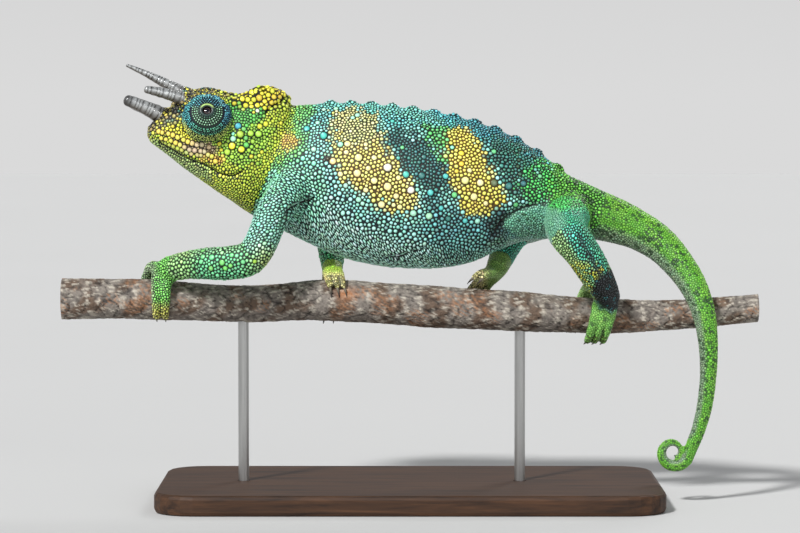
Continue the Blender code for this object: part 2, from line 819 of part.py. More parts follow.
def turned(profile, frame, sides, grow=0.0):
    """Rings of a turned shape, one for each radius and height of its profile."""
    rings = []
    for radius, height in profile:
        centre = Vector((0, 0, height))
        ring = circle(centre, Vector((1, 0, 0)), Vector((0, 1, 0)), radius + grow, radius + grow, sides)
        rings.append([frame @ p for p in ring])
    return rings


def socket(frame):
    """The space that a turret needs in the head, which leaves the brow over its upper edge."""
    outside = list(TURRET[:TURRET_RIM])
    floor = [(outside[0][0], outside[0][1] - GAP)]
    clear = [(outside[-1][0], SOCKET_HEIGHT)]
    return new_mesh("socket", [turned(floor + outside + clear, frame, TURRET_SIDES, GAP)])


def horn_rows(name, grow=0.0):
    """Rows of a horn, with a raised ring at each pitch: x, y, z, radius."""
    root, tip, root_radius, tip_radius, bow = HORNS[name]
    root, tip = Vector(root), Vector(tip)
    length = (tip - root).length
    along = (tip - root) / length
    rings = round(length / HORN_RING_PITCH)
    rows = []
    for step in range(2 * rings + 1):
        t = step / (2 * rings)
        radius = root_radius + (tip_radius - root_radius) * t
        radius *= 1 + (HORN_RING_HEIGHT if step % 2 and t < 0.93 else 0)
        point = root + along * (length * t) + Vector((0, 0, 4 * bow * t * (1 - t)))
        rows.append((*point, radius + grow))
    end = Vector(rows[-1][:3])
    rows.append((*(end + along * tip_radius * 0.8), tip_radius * 0.5 + grow))
    start = (*(root - along * HORN_ROOT), root_radius + grow)
    return [start] + rows


def boss_rings(name, place):
    """A blunt boss of flesh round a horn's root."""
    root, tip, radius = Vector(HORNS[name][0]), Vector(HORNS[name][1]), HORNS[name][2]
    back, front, extra = HORN_BOSS
    along = (tip - root).normalized()
    sizes = ((-back, 0.7), (0.4 * -back, 1.0), (front, 0.92))
    rows = [(*(root + along * reach), (radius + extra) * size) for reach, size in sizes]
    return tube_rings(rows, 12, place=place)


def horn_socket(name, place):
    rows = horn_rows(name, GAP)
    start = Vector(rows[0][:3])
    along = (Vector(rows[1][:3]) - start).normalized()
    rows[0] = (*(start - along * GAP), rows[0][3])
    return new_mesh("horn socket", [tube_rings(rows[:6], HORN_SIDES, place=place)])


def nostrils(place):
    cutters = []
    for side in (-1, 1):
        x, y, z = NOSTRIL
        centre = place @ Vector((x, side * y, z))
        bm = bmesh.new()
        bmesh.ops.create_icosphere(bm, subdivisions=1, radius=NOSTRIL_RADIUS * MM)
        bmesh.ops.translate(bm, verts=bm.verts, vec=centre * MM)
        mesh = bpy.data.meshes.new("nostril")
        bm.to_mesh(mesh)
        bm.free()
        cutters.append(bpy.data.objects.new("nostril", mesh))
    return cutters


def eyeball(name, frame, group):
    bm = bmesh.new()
    bmesh.ops.create_uvsphere(bm, u_segments=12, v_segments=7, radius=EYEBALL_RADIUS * MM)
    centre = frame @ Vector((0, 0, EYEBALL_DEPTH))
    bmesh.ops.transform(bm, matrix=Matrix.Translation(centre * MM), verts=bm.verts)
    mesh = bpy.data.meshes.new(name)
    bm.to_mesh(mesh)
    bm.free()
    return finish(bpy.data.objects.new(name, mesh), group, "eyeball")


def crest_lobe(x):
    """One rounded lobe of the crest, sunk into the back at x."""
    table = np.array(TRUNK)
    top = np.interp(x, table[:, 0], table[:, 1])
    ahead, behind = (np.interp(x + d, table[:, 0], table[:, 1]) for d in (-2, 2))
    slope = math.atan2(ahead - behind, 4)
    bm = bmesh.new()
    bmesh.ops.create_uvsphere(bm, u_segments=8, v_segments=5, radius=1)
    size = Matrix.Diagonal((*(s * MM for s in CREST_LOBE), 1))
    lean = Matrix.Rotation(slope, 4, "Y")
    place = Matrix.Translation(Vector((x, 0, top - CREST_SINK)) * MM)
    bmesh.ops.transform(bm, matrix=place @ lean @ size, verts=bm.verts)
    mesh = bpy.data.meshes.new("lobe")
    bm.to_mesh(mesh)
    bm.free()
    return bpy.data.objects.new("lobe", mesh)


def add_crest(pieces):
    """Joins the crest's lobes to the lengths of the trunk that carry them."""
    spans = {"torso_front": (-40, -2.1), "torso_rear": (-2.1, 28.6), "pelvis": (29.3, 54)}
    count = round((CREST_END - CREST_START) / CREST_PITCH)
    for name, (low, high) in spans.items():
        lobes = []
        for i in range(count + 1):
            x = CREST_START + i * CREST_PITCH
            if low + 2.6 < x < high - 2.6:
                lobes.append(crest_lobe(x))
        keep_largest(boolean(pieces[name], "UNION", lobes))


def plate(point, outward, radius):
    """A low round plate that stands on the skin."""
    side = outward.orthogonal().normalized()
    up = outward.cross(side)
    rings = [
        circle(point + outward * rise, side, up, radius * size, radius * size, PLATE_SIDES)
        for size, rise in PLATE_PROFILE
    ]
    return new_mesh("plate", [rings])


def add_plates(pieces, place):
    """Joins the large plates of both sides to the pieces that carry them."""
    for name, plates in PLATES.items():
        turn = place if name == "head" else Matrix.Identity(4)
        mesh = pieces[name].data
        corners = [v.co / MM for v in mesh.vertices]
        skin = BVHTree.FromPolygons(corners, [p.vertices[:] for p in mesh.polygons])
        made = []
        for x, z, radius in plates:
            for side in (-1, 1):
                inward = turn.to_3x3() @ Vector((0, -side, 0))
                point, outward, _, _ = skin.ray_cast(turn @ Vector((x, side * 40, z)), inward)
                made.append(plate(point, outward, radius))
        keep_largest(boolean(pieces[name], "UNION", made))


def add_claws(pieces):
    for name, grip in GRIPS.items():
        claws = [new_mesh("claw", [claw_rings(path, grip)]) for path in toe_paths(grip)]
        keep_largest(boolean(pieces[name], "UNION", claws))


def colour_of(name):
    if name in ("head", "jaw", "neck"):
        return "head_skin"
    if name.startswith("tail"):
        return "tail_skin"
    if name.startswith(("torso", "pelvis")):
        return "body_skin"
    return "limb_skin"


def split(body, cutters, middles):
    """Cuts the body up. Each piece goes to the nearest middle, and its largest is kept."""
    boolean(body, "DIFFERENCE", cutters)
    found = {}
    for points, faces in loose_parts(body):
        middle = sum(points, Vector()) / len(points) / MM
        name = min(middles, key=lambda n: (Vector(middles[n]) - middle).length)
        if name not in found or len(faces) > len(found[name][1]):
            found[name] = (points, faces)
    bpy.data.objects.remove(body, do_unlink=True)
    missing = sorted(set(middles) - set(found))
    if missing:
        raise RuntimeError(f"no piece was left for {missing}")
    return {name: object_of(name, *found[name]) for name in middles}


def flesh_pieces(place):
    """The flesh parted with thin cuts: limbs from trunk first, then each of them across."""
    body = make_flesh(place)
    boolean(body, "DIFFERENCE", [new_mesh("branch room", [branch_rings(GAP)]), tail_trim()])
    parts = split(body, [disc(*cut) for cut in ROOT_CUTS.values()], BODY_PARTS)
    pieces = split(parts.pop("trunk"), [slab(*NECK_CUT, place=place), *trunk_cutters()], TRUNK_PARTS)
    pieces.update(split(pieces.pop("skull"), [mouth_cutter(place)], SKULL_PARTS))
    for leg, part in parts.items():
        pieces.update(split(part, joint_cutters(leg), LEG_PARTS[leg]))
    for foot, middles in FOOT_PARTS.items():
        pieces.update(split(pieces.pop(foot), [disc(*PALM_CUTS[foot])], middles))
    return pieces


def make_animal(group):
    place = head_matrix()
    pieces = flesh_pieces(place)
    frames = {"left": turret_frame(-1, place), "right": turret_frame(1, place)}
    holes = [socket(frame) for frame in frames.values()]
    holes += [horn_socket(name, place) for name in HORNS]
    keep_largest(boolean(pieces["head"], "DIFFERENCE", holes + nostrils(place)))
    add_crest(pieces)
    add_plates(pieces, place)
    add_claws(pieces)
    for name, piece in pieces.items():
        finish(piece, group, colour_of(name))
    for side, frame in frames.items():
        turret = new_mesh("eye_turret_" + side, [turned(TURRET, frame, TURRET_SIDES)])
        finish(turret, group, "eye_skin")
        eyeball("eyeball_" + side, frame, group)
    for name in HORNS:
        rings = tube_rings(horn_rows(name), HORN_SIDES, place=place)
        finish(new_mesh(name, [rings]), group, "horn")


def make_tail(group):
    """The lengths of the tail beyond the first, end to end."""
    rows = tail_rows()
    last = len(rows) - 1
    rings = tube_rings(rows, TAIL_SIDES, TAIL_WIDTH)
    for number, (low, high) in enumerate(zip(TAIL_CUTS, TAIL_CUTS[1:]), start=2):
        first, end = round(low * last), round(high * last)
        piece = [list(ring) for ring in rings[first : end + 1]]
        shift = row_direction(rows, first) * (GAP / 2)
        piece[0] = [p + shift for p in piece[0]]
        if end < last:
            shift = row_direction(rows, end) * (GAP / 2)
            piece[-1] = [p - shift for p in piece[-1]]
        finish(new_mesh(f"tail_{number}", [piece]), group, "tail_skin")


def rod_ends(x):
    """The heights of a rod's foot in the base and its head in the branch."""
    height, radius = branch_at(x)
    return BASE_THICKNESS - ROD_DEPTH_IN_BASE, height - radius + ROD_DEPTH_IN_BRANCH


def rod(name, x, grow=0.0):
    """A rod, or with grow the hole that it needs."""
    foot, head = rod_ends(x)
    profile = [(ROD_RADIUS + grow, foot - grow), (ROD_RADIUS + grow, head + grow)]
    frame = Matrix.Translation((x, 0, 0))
    return new_mesh(name, [turned(profile, frame, 20)])


def make_base():
    """A flat plate with round corners and a softened edge."""
    shape = bpy.data.curves.new("plate", "CURVE")
    shape.dimensions = "2D"
    shape.fill_mode = "BOTH"
    shape.extrude = (BASE_THICKNESS / 2 - BASE_EDGE) * MM
    shape.bevel_depth = BASE_EDGE * MM
    shape.bevel_resolution = 1
    shape.offset = -BASE_EDGE * MM
    outline = []
    for quarter in range(4):
        sx, sy = ((1, 1), (-1, 1), (-1, -1), (1, -1))[quarter]
        for step in range(6):
            angle = math.radians(90 * quarter + 18 * step)
            x = sx * (BASE_LENGTH / 2 - BASE_CORNER) + BASE_CORNER * math.cos(angle)
            y = sy * (BASE_WIDTH / 2 - BASE_CORNER) + BASE_CORNER * math.sin(angle)
            outline.append((x * MM, y * MM, 0, 1))
    spline = shape.splines.new("POLY")
    spline.points.add(len(outline) - 1)
    for point, corner in zip(spline.points, outline):
        point.co = corner
    spline.use_cyclic_u = True
    plate = bpy.data.objects.new("plate", shape)
    bpy.context.scene.collection.objects.link(plate)
    plate.location.z = BASE_THICKNESS / 2 * MM
    bpy.context.view_layer.update()
    graph = bpy.context.evaluated_depsgraph_get()
    mesh = bpy.data.meshes.new_from_object(plate.evaluated_get(graph))
    bm = bmesh.new()
    bm.from_mesh(mesh)
    bmesh.ops.remove_doubles(bm, verts=bm.verts, dist=1e-6)
    bmesh.ops.transform(bm, matrix=plate.matrix_world, verts=bm.verts)
    bm.to_mesh(mesh)
    bm.free()
    bpy.data.objects.remove(plate, do_unlink=True)
    return bpy.data.objects.new("stand_base", mesh)


def make_stand(group):
    base = make_base()
    boolean(base, "DIFFERENCE", [rod("hole", x, GAP) for x in RODS.values()])
    finish(base, group, "stand")
    branch = new_mesh("branch", [branch_rings(0.0)])
    boolean(branch, "DIFFERENCE", [rod("hole", x, GAP) for x in RODS.values()])
    finish(branch, group, "branch")
    for name, x in RODS.items():
        finish(rod(name, x), group, "rod")


def main():
    clear_scene()
    group = new_collection("three-horned chameleon")
    make_stand(group)
    make_animal(group)
    make_tail(group)


main()
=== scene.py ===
"""A three-horned chameleon that grips a cut branch, on a plain display stand.

One skin covers the flesh of the solids, and a coat of separate scales grows on it. The animal
faces -X and its left side faces -Y. Tables are in millimetres and meshes are in metres.
Markings are laid out on a side view of 800 x 533 steps, 0.3 mm each, and are the same on both
sides of the animal.
"""

import json
import math

import bmesh
import bpy
import numpy as np
from mathutils import Matrix, Vector
from mathutils.bvhtree import BVHTree
from mathutils.kdtree import KDTree

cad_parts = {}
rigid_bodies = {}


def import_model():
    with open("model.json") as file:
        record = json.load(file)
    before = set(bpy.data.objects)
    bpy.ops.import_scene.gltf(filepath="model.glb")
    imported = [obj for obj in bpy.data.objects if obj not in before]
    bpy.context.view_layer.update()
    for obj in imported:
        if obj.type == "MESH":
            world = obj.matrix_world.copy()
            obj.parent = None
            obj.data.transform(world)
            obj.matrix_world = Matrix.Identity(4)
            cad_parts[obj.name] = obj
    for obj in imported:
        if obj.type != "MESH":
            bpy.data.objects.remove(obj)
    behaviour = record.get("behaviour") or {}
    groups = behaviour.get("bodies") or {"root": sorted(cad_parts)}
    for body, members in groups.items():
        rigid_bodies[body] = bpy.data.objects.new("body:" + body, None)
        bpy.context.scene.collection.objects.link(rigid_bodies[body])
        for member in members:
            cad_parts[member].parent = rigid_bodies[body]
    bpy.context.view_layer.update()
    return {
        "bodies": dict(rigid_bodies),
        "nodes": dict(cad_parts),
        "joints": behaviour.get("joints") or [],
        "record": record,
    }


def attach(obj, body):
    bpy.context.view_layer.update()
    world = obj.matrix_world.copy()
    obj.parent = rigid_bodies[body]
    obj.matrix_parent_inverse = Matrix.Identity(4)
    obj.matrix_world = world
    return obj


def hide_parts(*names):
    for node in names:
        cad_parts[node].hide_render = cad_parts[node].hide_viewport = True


MM = 0.001

# Side view that the markings are laid out on, which is also where the camera stands
AIM = np.array((-3.0, 0.0, 70.45))
DISTANCE = 1000.0
ELEVATION = 3.0
STEP = 0.3
MIDDLE = (400.0, 266.5)
LENS = 150.0

# The head's turn and roll, as in the solids
HEAD_PIVOT = Vector((-44.0, 0.0, 100.0))
HEAD_YAW = 6.0
HEAD_ROLL = 6.0
# Along x, from where the neck has none of the head's turn to where it has all of it
HEAD_STARTS = (-38.0, -48.0)

# Skin
GAP = 0.3
VOXEL = 0.36
SOFTENING = 12
SOFTEN_IN_AND_OUT = (0.55, -0.57)
SKIN_TRIANGLES = 110000
UNWRAP_TRIANGLES = 9000
TAIL_TIP_DEPTH = 0.16
RIPPLE_WAVES = 6

# x, height of the branch's axis, radius
BRANCH = (
    (-104.4, 60.8, 5.9),
    (-78.0, 60.5, 5.85),
    (-48.0, 59.3, 5.3),
    (-23.0, 60.2, 6.0),
    (20.0, 57.6, 6.0),
    (57.0, 55.7, 5.1),
    (81.0, 56.0, 4.3),
    (104.4, 58.0, 4.1),
)
BARK_SWELL = 0.035
BRANCH_SIDES = 96
BRANCH_STEPS = 60

# Horns: root, tip, root radius, tip radius, how far the middle bows up
HORNS = {
    "horn_nose": ((-74.6, 0.0, 115.9), (-84.4, 0.0, 120.3), 2.4, 1.6, 0.2),
    "horn_left": ((-68.5, -5.3, 121.5), (-78.9, -7.1, 124.3), 1.9, 1.1, 0.2),
    "horn_right": ((-68.0, 5.2, 122.0), (-84.4, 8.0, 130.0), 1.9, 0.45, 0.4),
}
HORN_RING = 1.2
HORN_STEP = 0.1
HORN_SUNK = 1.1
HORN_SIDES = 36
# Flesh round a horn's root: how far along the horn, how much wider than it
PLUG = ((-2.6, 0.0), (-1.2, 0.6), (0.2, 0.5), (0.6, 0.1))

# Eyes
TURRET_CENTRE = (-61.1, 7.0, 115.7)
TURRET_TILT_UP = 29.0
TURRET_TURN_FORWARD = 3.0
EYEBALL_RADIUS = 2.1
EYEBALL_DEPTH = 4.1
EYE_SIDES = 40
LID_UP = 1.62
LID_FORWARD = 1.76
LID_HEIGHT = 6.42
LID_WIDTH = 0.52
LID_THICKNESS = 0.2
LID_STEPS = 64
# Beads on a turret: where the lid's even ones end, their size, the size of the outer ones,
# and the bare crease between them
LID_BEADS_END = 4.6
LID_BEAD = 0.74
OUTER_BEAD = 0.6
LID_CREASE = (4.5, 4.95)
# Turret's outside from its rim to its foot: radius, height
TURRET = ((2.2, 6.6), (2.9, 6.1), (4.6, 5.3), (6.1, 4.0), (7.0, 2.2), (7.3, 0.4))

# Toes: side, toes, x root to tip, angle root to tip, lift, spread, radius, as in the solids
GRIPS = {
    "hand_left_outer": (-1, 2, (-74.0, -74.4), (22, 136), (2.0, 0.0), (3.0, 2.7), (2.1, 1.2)),
    "hand_left_inner": (1, 3, (-75.2, -81.6), (-8, 128), (2.4, 0.0), (1.7, 2.4), (2.0, 1.15)),
    "hand_right_inner": (-1, 3, (-23.2, -21.8), (4, 48), (1.0, 0.0), (1.6, 2.1), (1.9, 1.1)),
    "hand_right_outer": (1, 2, (-23.6, -24.4), (18, 142), (1.4, 0.0), (2.4, 2.9), (2.0, 1.15)),
    "foot_left_outer": (-1, 3, (58.6, 55.2), (52, 146), (2.6, 2.6), (2.3, 2.4), (2.0, 1.25)),
    "foot_left_inner": (1, 2, (57.0, 49.6), (-44, 126), (2.6, 0.0), (1.6, 2.6), (2.2, 1.2)),
    "foot_right_inner": (-1, 2, (24.8, 20.4), (-14, 20), (3.6, 3.3), (2.0, 2.7), (1.9, 1.15)),
    "foot_right_outer": (1, 3, (25.2, 19.6), (20, 66), (3.8, 3.0), (1.8, 2.3), (1.9, 1.15)),
}
TOE_STEPS = 8
TOE_BAR_PITCH = 1.5
TOE_BARS_REACH = 3.4
ROUND_TIP = 0.95
CLAW_LENGTH = 2.5
CLAW_RADIUS = 0.58
CLAW_TIP = 0.1
CLAW_ROOT = 0.9
CLAW_ROOM = 1.2
CLAW_STEPS = 14
CLAW_SIDES = 12
CLAW_FLATNESS = 0.78

# Middle line of the tail: x, y, z, half depth
TAIL = (
    (44.0, 0.0, 90.2, 8.5),
    (52.5, 0.0, 86.9, 8.1),
    (61.5, 0.0, 84.2, 6.9),
    (69.0, -0.8, 81.0, 6.0),
    (75.6, -2.6, 76.6, 5.3),
    (81.3, -5.2, 70.0, 4.6),
    (85.2, -7.8, 63.4, 4.05),
    (87.6, -9.6, 55.9, 3.5),
    (88.7, -10.0, 46.9, 2.95),
    (88.7, -9.6, 37.9, 2.6),
    (87.7, -9.0, 28.9, 2.4),
    (85.9, -8.6, 21.8, 2.15),
)
CURL_CENTRE = (78.6, -8.2, 15.4)
CURL_RADIUS = 4.7
CURL_SHRINK = 0.43
CURL_START = -18.0
CURL_TURN = 412.0
CURL_STEPS = 60
CURL_DRIFT = 1.6
CURL_DEPTH = 1.95
CURL_TAPER = 1.53

FLESH = (
    "head jaw neck torso_front torso_rear pelvis tail_1 tail_2 tail_3 tail_4 tail_5 tail_6 "
    "eye_turret_left eye_turret_right upper_arm_left forearm_left upper_arm_right forearm_right "
    "hand_left_outer hand_left_inner hand_right_inner hand_right_outer thigh_left shank_left "
    "thigh_right shank_right foot_left_outer foot_left_inner foot_right_inner foot_right_outer"
).split()

# Scale spacing on each part, how much longer than wide, height as a share of spacing, and how
# much of its place a scale fills
SCALES = {
    "head": (0.86, 1.0, 0.2, 0.88),
    "jaw": (0.8, 1.3, 0.2, 0.84),
    "neck": (0.74, 1.2, 0.22, 0.82),
    "torso_front": (1.14, 1.0, 0.26, 0.78),
    "torso_rear": (1.14, 1.0, 0.26, 0.78),
    "pelvis": (0.92, 1.0, 0.22, 0.8),
    "tail_1": (0.68, 1.0, 0.16, 0.88),
    "tail_2": (0.66, 1.0, 0.16, 0.88),
    "tail_3": (0.64, 1.0, 0.16, 0.88),
    "tail_4": (0.6, 1.0, 0.16, 0.88),
    "tail_5": (0.56, 1.0, 0.16, 0.88),
    "tail_6": (0.5, 1.0, 0.15, 0.88),
    "upper_arm": (0.93, 1.15, 0.24, 0.8),
    "forearm": (1.03, 1.0, 0.24, 0.8),
    "hand_right": (0.6, 1.0, 0.14, 0.9),
    "hand": (0.68, 0.8, 0.22, 0.84),
    "thigh": (0.68, 1.5, 0.18, 0.86),
    "shank": (0.78, 1.25, 0.24, 0.76),
    "foot": (0.6, 1.0, 0.14, 0.9),
    "eye_turret": (0.62, 1.0, 0.16, 0.82),
}
SIDES = 8
ROUND = np.arange(SIDES) * 2 * math.pi / SIDES
ROUND_COS, ROUND_SIN = np.cos(ROUND), np.sin(ROUND)
ELBOW_ROOM = 0.8
BARE = 0.7
SETTLING = 10
NEIGHBOURS = 14
# Large scales: how much of its place one fills, and room round it as a share of a small one
DISC_FILL = 0.84
DISC_ROOM = 0.34
# Neighbours push a root when nearer than this share of both sizes: share, push at most, how
# much of it is moved at a time, and the longest move as a share of the scale's size
ROOM_WANTED = 0.56
PUSH_AT_MOST = 0.6
MOVED_SHARE = 0.35
MOVE_AT_MOST = 0.3
# An outline's reach as a share of the size, its reach where nothing bounds it, and how much
# of it is the place between the neighbours rather than round
REACH_AT_MOST = 0.62
UNBOUNDED = 9
OWN_CORNERS = 0.45
# Neighbours whose normals differ more than this belong to another side of the body
SAME_SIDE = 0.1
FIRST_SIDE = -0.2
# Scale's rings, from its foot up: share of the outline, share of its height, colour share; the low
# colour shares paint shade down each scale's sides
FOOT_SUNK = 0.12
FOOT_SLOPE = 0.2
WALL = (0.96, 0.45, 0.3)
SHOULDER = (0.76, 0.88, 0.95)
PATCH = 0.0015
COAT_PIECES = {
    "head": ("scales_head", "head_skin"),
    "eye_turret": ("scales_head", "head_skin"),
    "jaw": ("scales_head", "head_skin"),
    "neck": ("scales_neck", "head_skin"),
    "torso_front": ("scales_shoulder", "body_skin"),
    "torso_rear": ("scales_flank", "body_skin"),
    "pelvis": ("scales_hips", "body_skin"),
    "tail_1": ("scales_tail_base", "tail_skin"),
    "tail_2": ("scales_tail_base", "tail_skin"),
    "tail": ("scales_tail_end", "tail_skin"),
    "upper_arm": ("scales_arms", "limb_skin"),
    "forearm": ("scales_arms", "limb_skin"),
    "hand": ("scales_hands", "limb_skin"),
    "thigh": ("scales_legs", "limb_skin"),
    "shank": ("scales_legs", "limb_skin"),
    "foot": ("scales_feet", "limb_skin"),
}
# Parts whose scales are flat, close and of nearly one tone with the skin between them
SMOOTH = ("tail", "foot", "thigh", "hand_right")
THIGH_TOP = [(530, 180), (600, 180), (600, 216), (566, 212), (548, 208), (536, 204)]
SMOOTH_GROIN = [(506, 216), (524, 208), (548, 204), (566, 208), (566, 256), (512, 256),
                (502, 236)]
FRONT_OF_BACK = [(300, 100), (372, 106), (384, 130), (350, 146), (316, 150), (296, 150)]
BELLY_STRINGS = [(262, 196), (296, 196), (338, 216), (365, 236), (400, 250), (440, 248),
                 (470, 250), (500, 262), (440, 300), (340, 300), (270, 240)]
NECK_CREASES = [(258, 172), (284, 158), (312, 176), (318, 200), (290, 230), (250, 224)]

# Areas of the body on the side view: outline, softness, how far the edge wanders, colour of the
# scales, colour of the skin between them
MINT = ((146, 224, 206), (8, 42, 46))
AREAS = {
    "back": (
        [(296, 88), (350, 92), (420, 98), (480, 112), (540, 138), (562, 156), (548, 172),
         (522, 160), (490, 143), (440, 130), (390, 121), (345, 116), (318, 120), (296, 112)],
        6, 4, (78, 188, 192), (8, 48, 58)),
    "back, front": (
        [(296, 92), (350, 92), (430, 100), (436, 126), (390, 121), (345, 116), (318, 120),
         (296, 112)],
        8, 5, (122, 214, 196), (8, 48, 50)),
    "back, rear": (
        [(455, 108), (500, 116), (545, 140), (560, 158), (544, 166), (520, 152), (480, 132)],
        6, 4, (52, 142, 152), (6, 34, 46)),
    "belly": (
        [(252, 200), (285, 168), (322, 192), (350, 222), (400, 243), (455, 243), (480, 262),
         (440, 290), (370, 290), (290, 265)],
        8, 3, (176, 232, 212), (10, 50, 50)),
    "belly, rear": (
        [(432, 200), (460, 212), (512, 216), (525, 240), (502, 266), (470, 275), (436, 262),
         (424, 225)],
        8, 4, (92, 168, 165), (5, 28, 36)),
    "dark, front": (
        [(384, 132), (404, 128), (438, 148), (450, 168), (454, 190), (432, 202), (416, 182),
         (398, 160), (386, 144)],
        5, 5, (42, 116, 108), (3, 16, 20)),
    "dark, rear": (
        [(486, 140), (502, 134), (532, 150), (546, 180), (532, 196), (512, 196), (500, 180),
         (489, 160)],
        5, 5, (46, 124, 108), (3, 14, 16)),
    "green, middle": (
        [(424, 122), (452, 124), (456, 140), (450, 160), (438, 152), (426, 138)],
        4, 5, (88, 190, 100), (8, 44, 20)),
    "green, rear": (
        [(534, 160), (560, 166), (582, 186), (596, 222), (560, 222), (530, 206), (516, 196)],
        7, 6, (66, 190, 84), (8, 50, 22)),
    "tail root": (
        [(556, 152), (620, 170), (626, 250), (572, 236), (552, 206)],
        7, 5, (92, 180, 48), (34, 96, 20)),
    "shoulder": (
        [(258, 176), (284, 154), (312, 160), (332, 186), (318, 222), (280, 226), (252, 216)],
        7, 4, (142, 222, 186), (14, 64, 60)),
    "neck edge": (
        [(200, 80), (300, 88), (314, 108), (306, 128), (306, 150), (290, 164), (274, 172),
         (264, 184), (262, 206), (240, 214), (200, 190)],
        8, 4, (122, 212, 116), (18, 66, 36)),
    "neck": (
        [(180, 80), (292, 90), (299, 104), (293, 122), (295, 144), (280, 154), (268, 162),
         (259, 172), (254, 184), (250, 212), (225, 205), (190, 180), (150, 150)],
        5, 4, (176, 210, 58), (38, 62, 14)),
    "band, front": (
        [(337, 114), (352, 112), (370, 120), (378, 133), (385, 145), (396, 161), (411, 180),
         (418, 196), (412, 214), (386, 207), (362, 196), (345, 180), (331, 163), (333, 140)],
        2.5, 4, (250, 236, 122), (112, 86, 12)),
    "band, top": (
        [(334, 112), (352, 108), (372, 118), (380, 134), (366, 144), (338, 146), (334, 130)],
        4, 5, (226, 228, 152), (70, 74, 30)),
    "band, rear": (
        [(451, 134), (464, 128), (479, 138), (487, 165), (500, 184), (509, 202), (500, 215),
         (474, 218), (458, 208), (454, 190), (449, 165), (446, 150)],
        2.5, 4, (250, 232, 96), (128, 98, 12)),
    "groin shadow": (
        [(486, 222), (500, 210), (512, 214), (512, 232), (504, 250), (488, 246)],
        4, 3, (34, 84, 82), (2, 8, 10)),
    "groin": (
        [(508, 216), (524, 208), (548, 204), (566, 208), (566, 240), (520, 240), (505, 230)],
        3, 2, (120, 190, 158), (62, 122, 100)),
    "groin rim": (
        [(508, 240), (566, 240), (566, 258), (508, 258)],
        2, 1, (182, 216, 204), (112, 154, 142)),
    "scar": ([(322, 155), (332, 154), (333, 160), (324, 162)], 2, 1, (60, 60, 40), (12, 14, 12)),
    "orange": (
        [(281, 136), (290, 133), (296, 140), (294, 149), (285, 150), (280, 144)],
        3, 2, (236, 196, 84), (110, 80, 20)),
}
HEAD_AREAS = {
    "throat": (
        [(150, 143), (175, 158), (195, 166), (212, 173), (236, 180), (262, 186), (262, 240),
         (200, 220), (150, 170)],
        5, 3, (198, 218, 62), (44, 70, 16)),
    "jaw edge": (
        [(150, 140), (172, 150), (196, 163), (210, 171), (210, 180), (180, 176), (150, 152)],
        3, 2, (176, 204, 118), (18, 36, 18)),
    "cheek": (
        [(222, 118), (262, 118), (272, 140), (262, 160), (236, 168), (222, 158), (214, 146)],
        6, 4, (160, 216, 66), (26, 64, 20)),
    "behind eye": (
        [(222, 100), (240, 104), (268, 110), (262, 126), (238, 128), (226, 120)],
        4, 4, (84, 178, 72), (14, 60, 26)),
    "casque": (
        [(238, 84), (290, 82), (290, 98), (276, 104), (262, 108), (246, 106), (236, 98)],
        4, 3, (248, 230, 52), (40, 34, 8)),
    "lores": (
        [(158, 124), (172, 120), (190, 124), (196, 140), (186, 142), (172, 136), (158, 132)],
        3, 2, (248, 240, 48), (70, 74, 14)),
    "snout": (
        [(136, 134), (140, 112), (168, 90), (205, 84), (242, 86), (238, 96), (214, 96),
         (196, 102), (186, 112), (180, 121), (166, 122), (157, 128), (150, 136)],
        3, 3, (138, 126, 70), (26, 22, 18)),
    "upper lip": (
        [(152, 130), (168, 132), (184, 138), (194, 141), (194, 146), (184, 144), (168, 137),
         (154, 134)],
        1.5, 1, (238, 212, 80), (92, 62, 26)),
    "pale lip": (
        [(172, 141), (186, 142), (206, 142), (216, 150), (212, 157), (200, 153), (186, 151),
         (174, 147)],
        3, 2, (206, 188, 142), (96, 70, 52)),
    "mouth corner": (
        [(202, 152), (212, 151), (222, 160), (221, 168), (212, 164), (203, 159)],
        3, 2, (232, 188, 78), (104, 66, 24)),
}
LIP_LINE = ((153.8, 133), (158.5, 135), (165.3, 136.5), (170.6, 138.4), (175.2, 140.3),
            (179.8, 142.2), (184.4, 144.5), (189, 146.6), (196, 148), (203.5, 148.7),
            (208.9, 151.8), (213.5, 154.4), (216.5, 158.3), (220.4, 162))
JAW_FOLD = ((159, 144.5), (173, 153), (183, 159), (193.6, 162.9), (203.5, 165.9), (210.4, 170.5),
            (216.5, 174.3), (224, 176.6), (234, 177), (241, 172.5))
CASQUE_FOLD = ((266.5, 111.8), (270.9, 106.8), (277, 102.2), (285.4, 98.4))
BELLY_FOLD = ((384, 260), (400, 258), (412, 253), (424, 250))
ARMPIT = ((283, 238), (285, 222), (289, 212), (297, 207), (305, 204), (312, 199))
GROIN = ((496, 232), (503, 222), (512, 214), (524, 208), (536, 205))
SHANK_SEAM = ((578, 234), (586, 248), (596, 268), (602, 280))
# Ankle of the near hind leg on the side view, painted near black as the shade it lies in
ANKLE_SHADE = [(595, 280), (612, 268), (628, 286), (628, 306), (612, 312), (600, 307), (592, 292)]
# Head's own green, and the flecks on its brow: how often, colour of the scale, of the skin
HEAD_GREEN = ((192, 212, 52), (44, 62, 14))
BROW_FLECKS = ((0.3, (40, 40, 30), (16, 14, 12)), (0.22, (212, 204, 70), (40, 38, 14)),
               (0.12, (70, 120, 104), (12, 24, 22)))
# Dark clusters on the tail: x, y, radius on the side view
SPECKLES = ((584, 198, 10), (617, 204, 6), (603, 232, 9), (652, 240, 13), (640, 214, 6),
            (575, 182, 8), (708, 300, 9), (709, 347, 8), (707, 363, 7), (700, 394, 5),
            (676, 262, 7), (692, 330, 5))

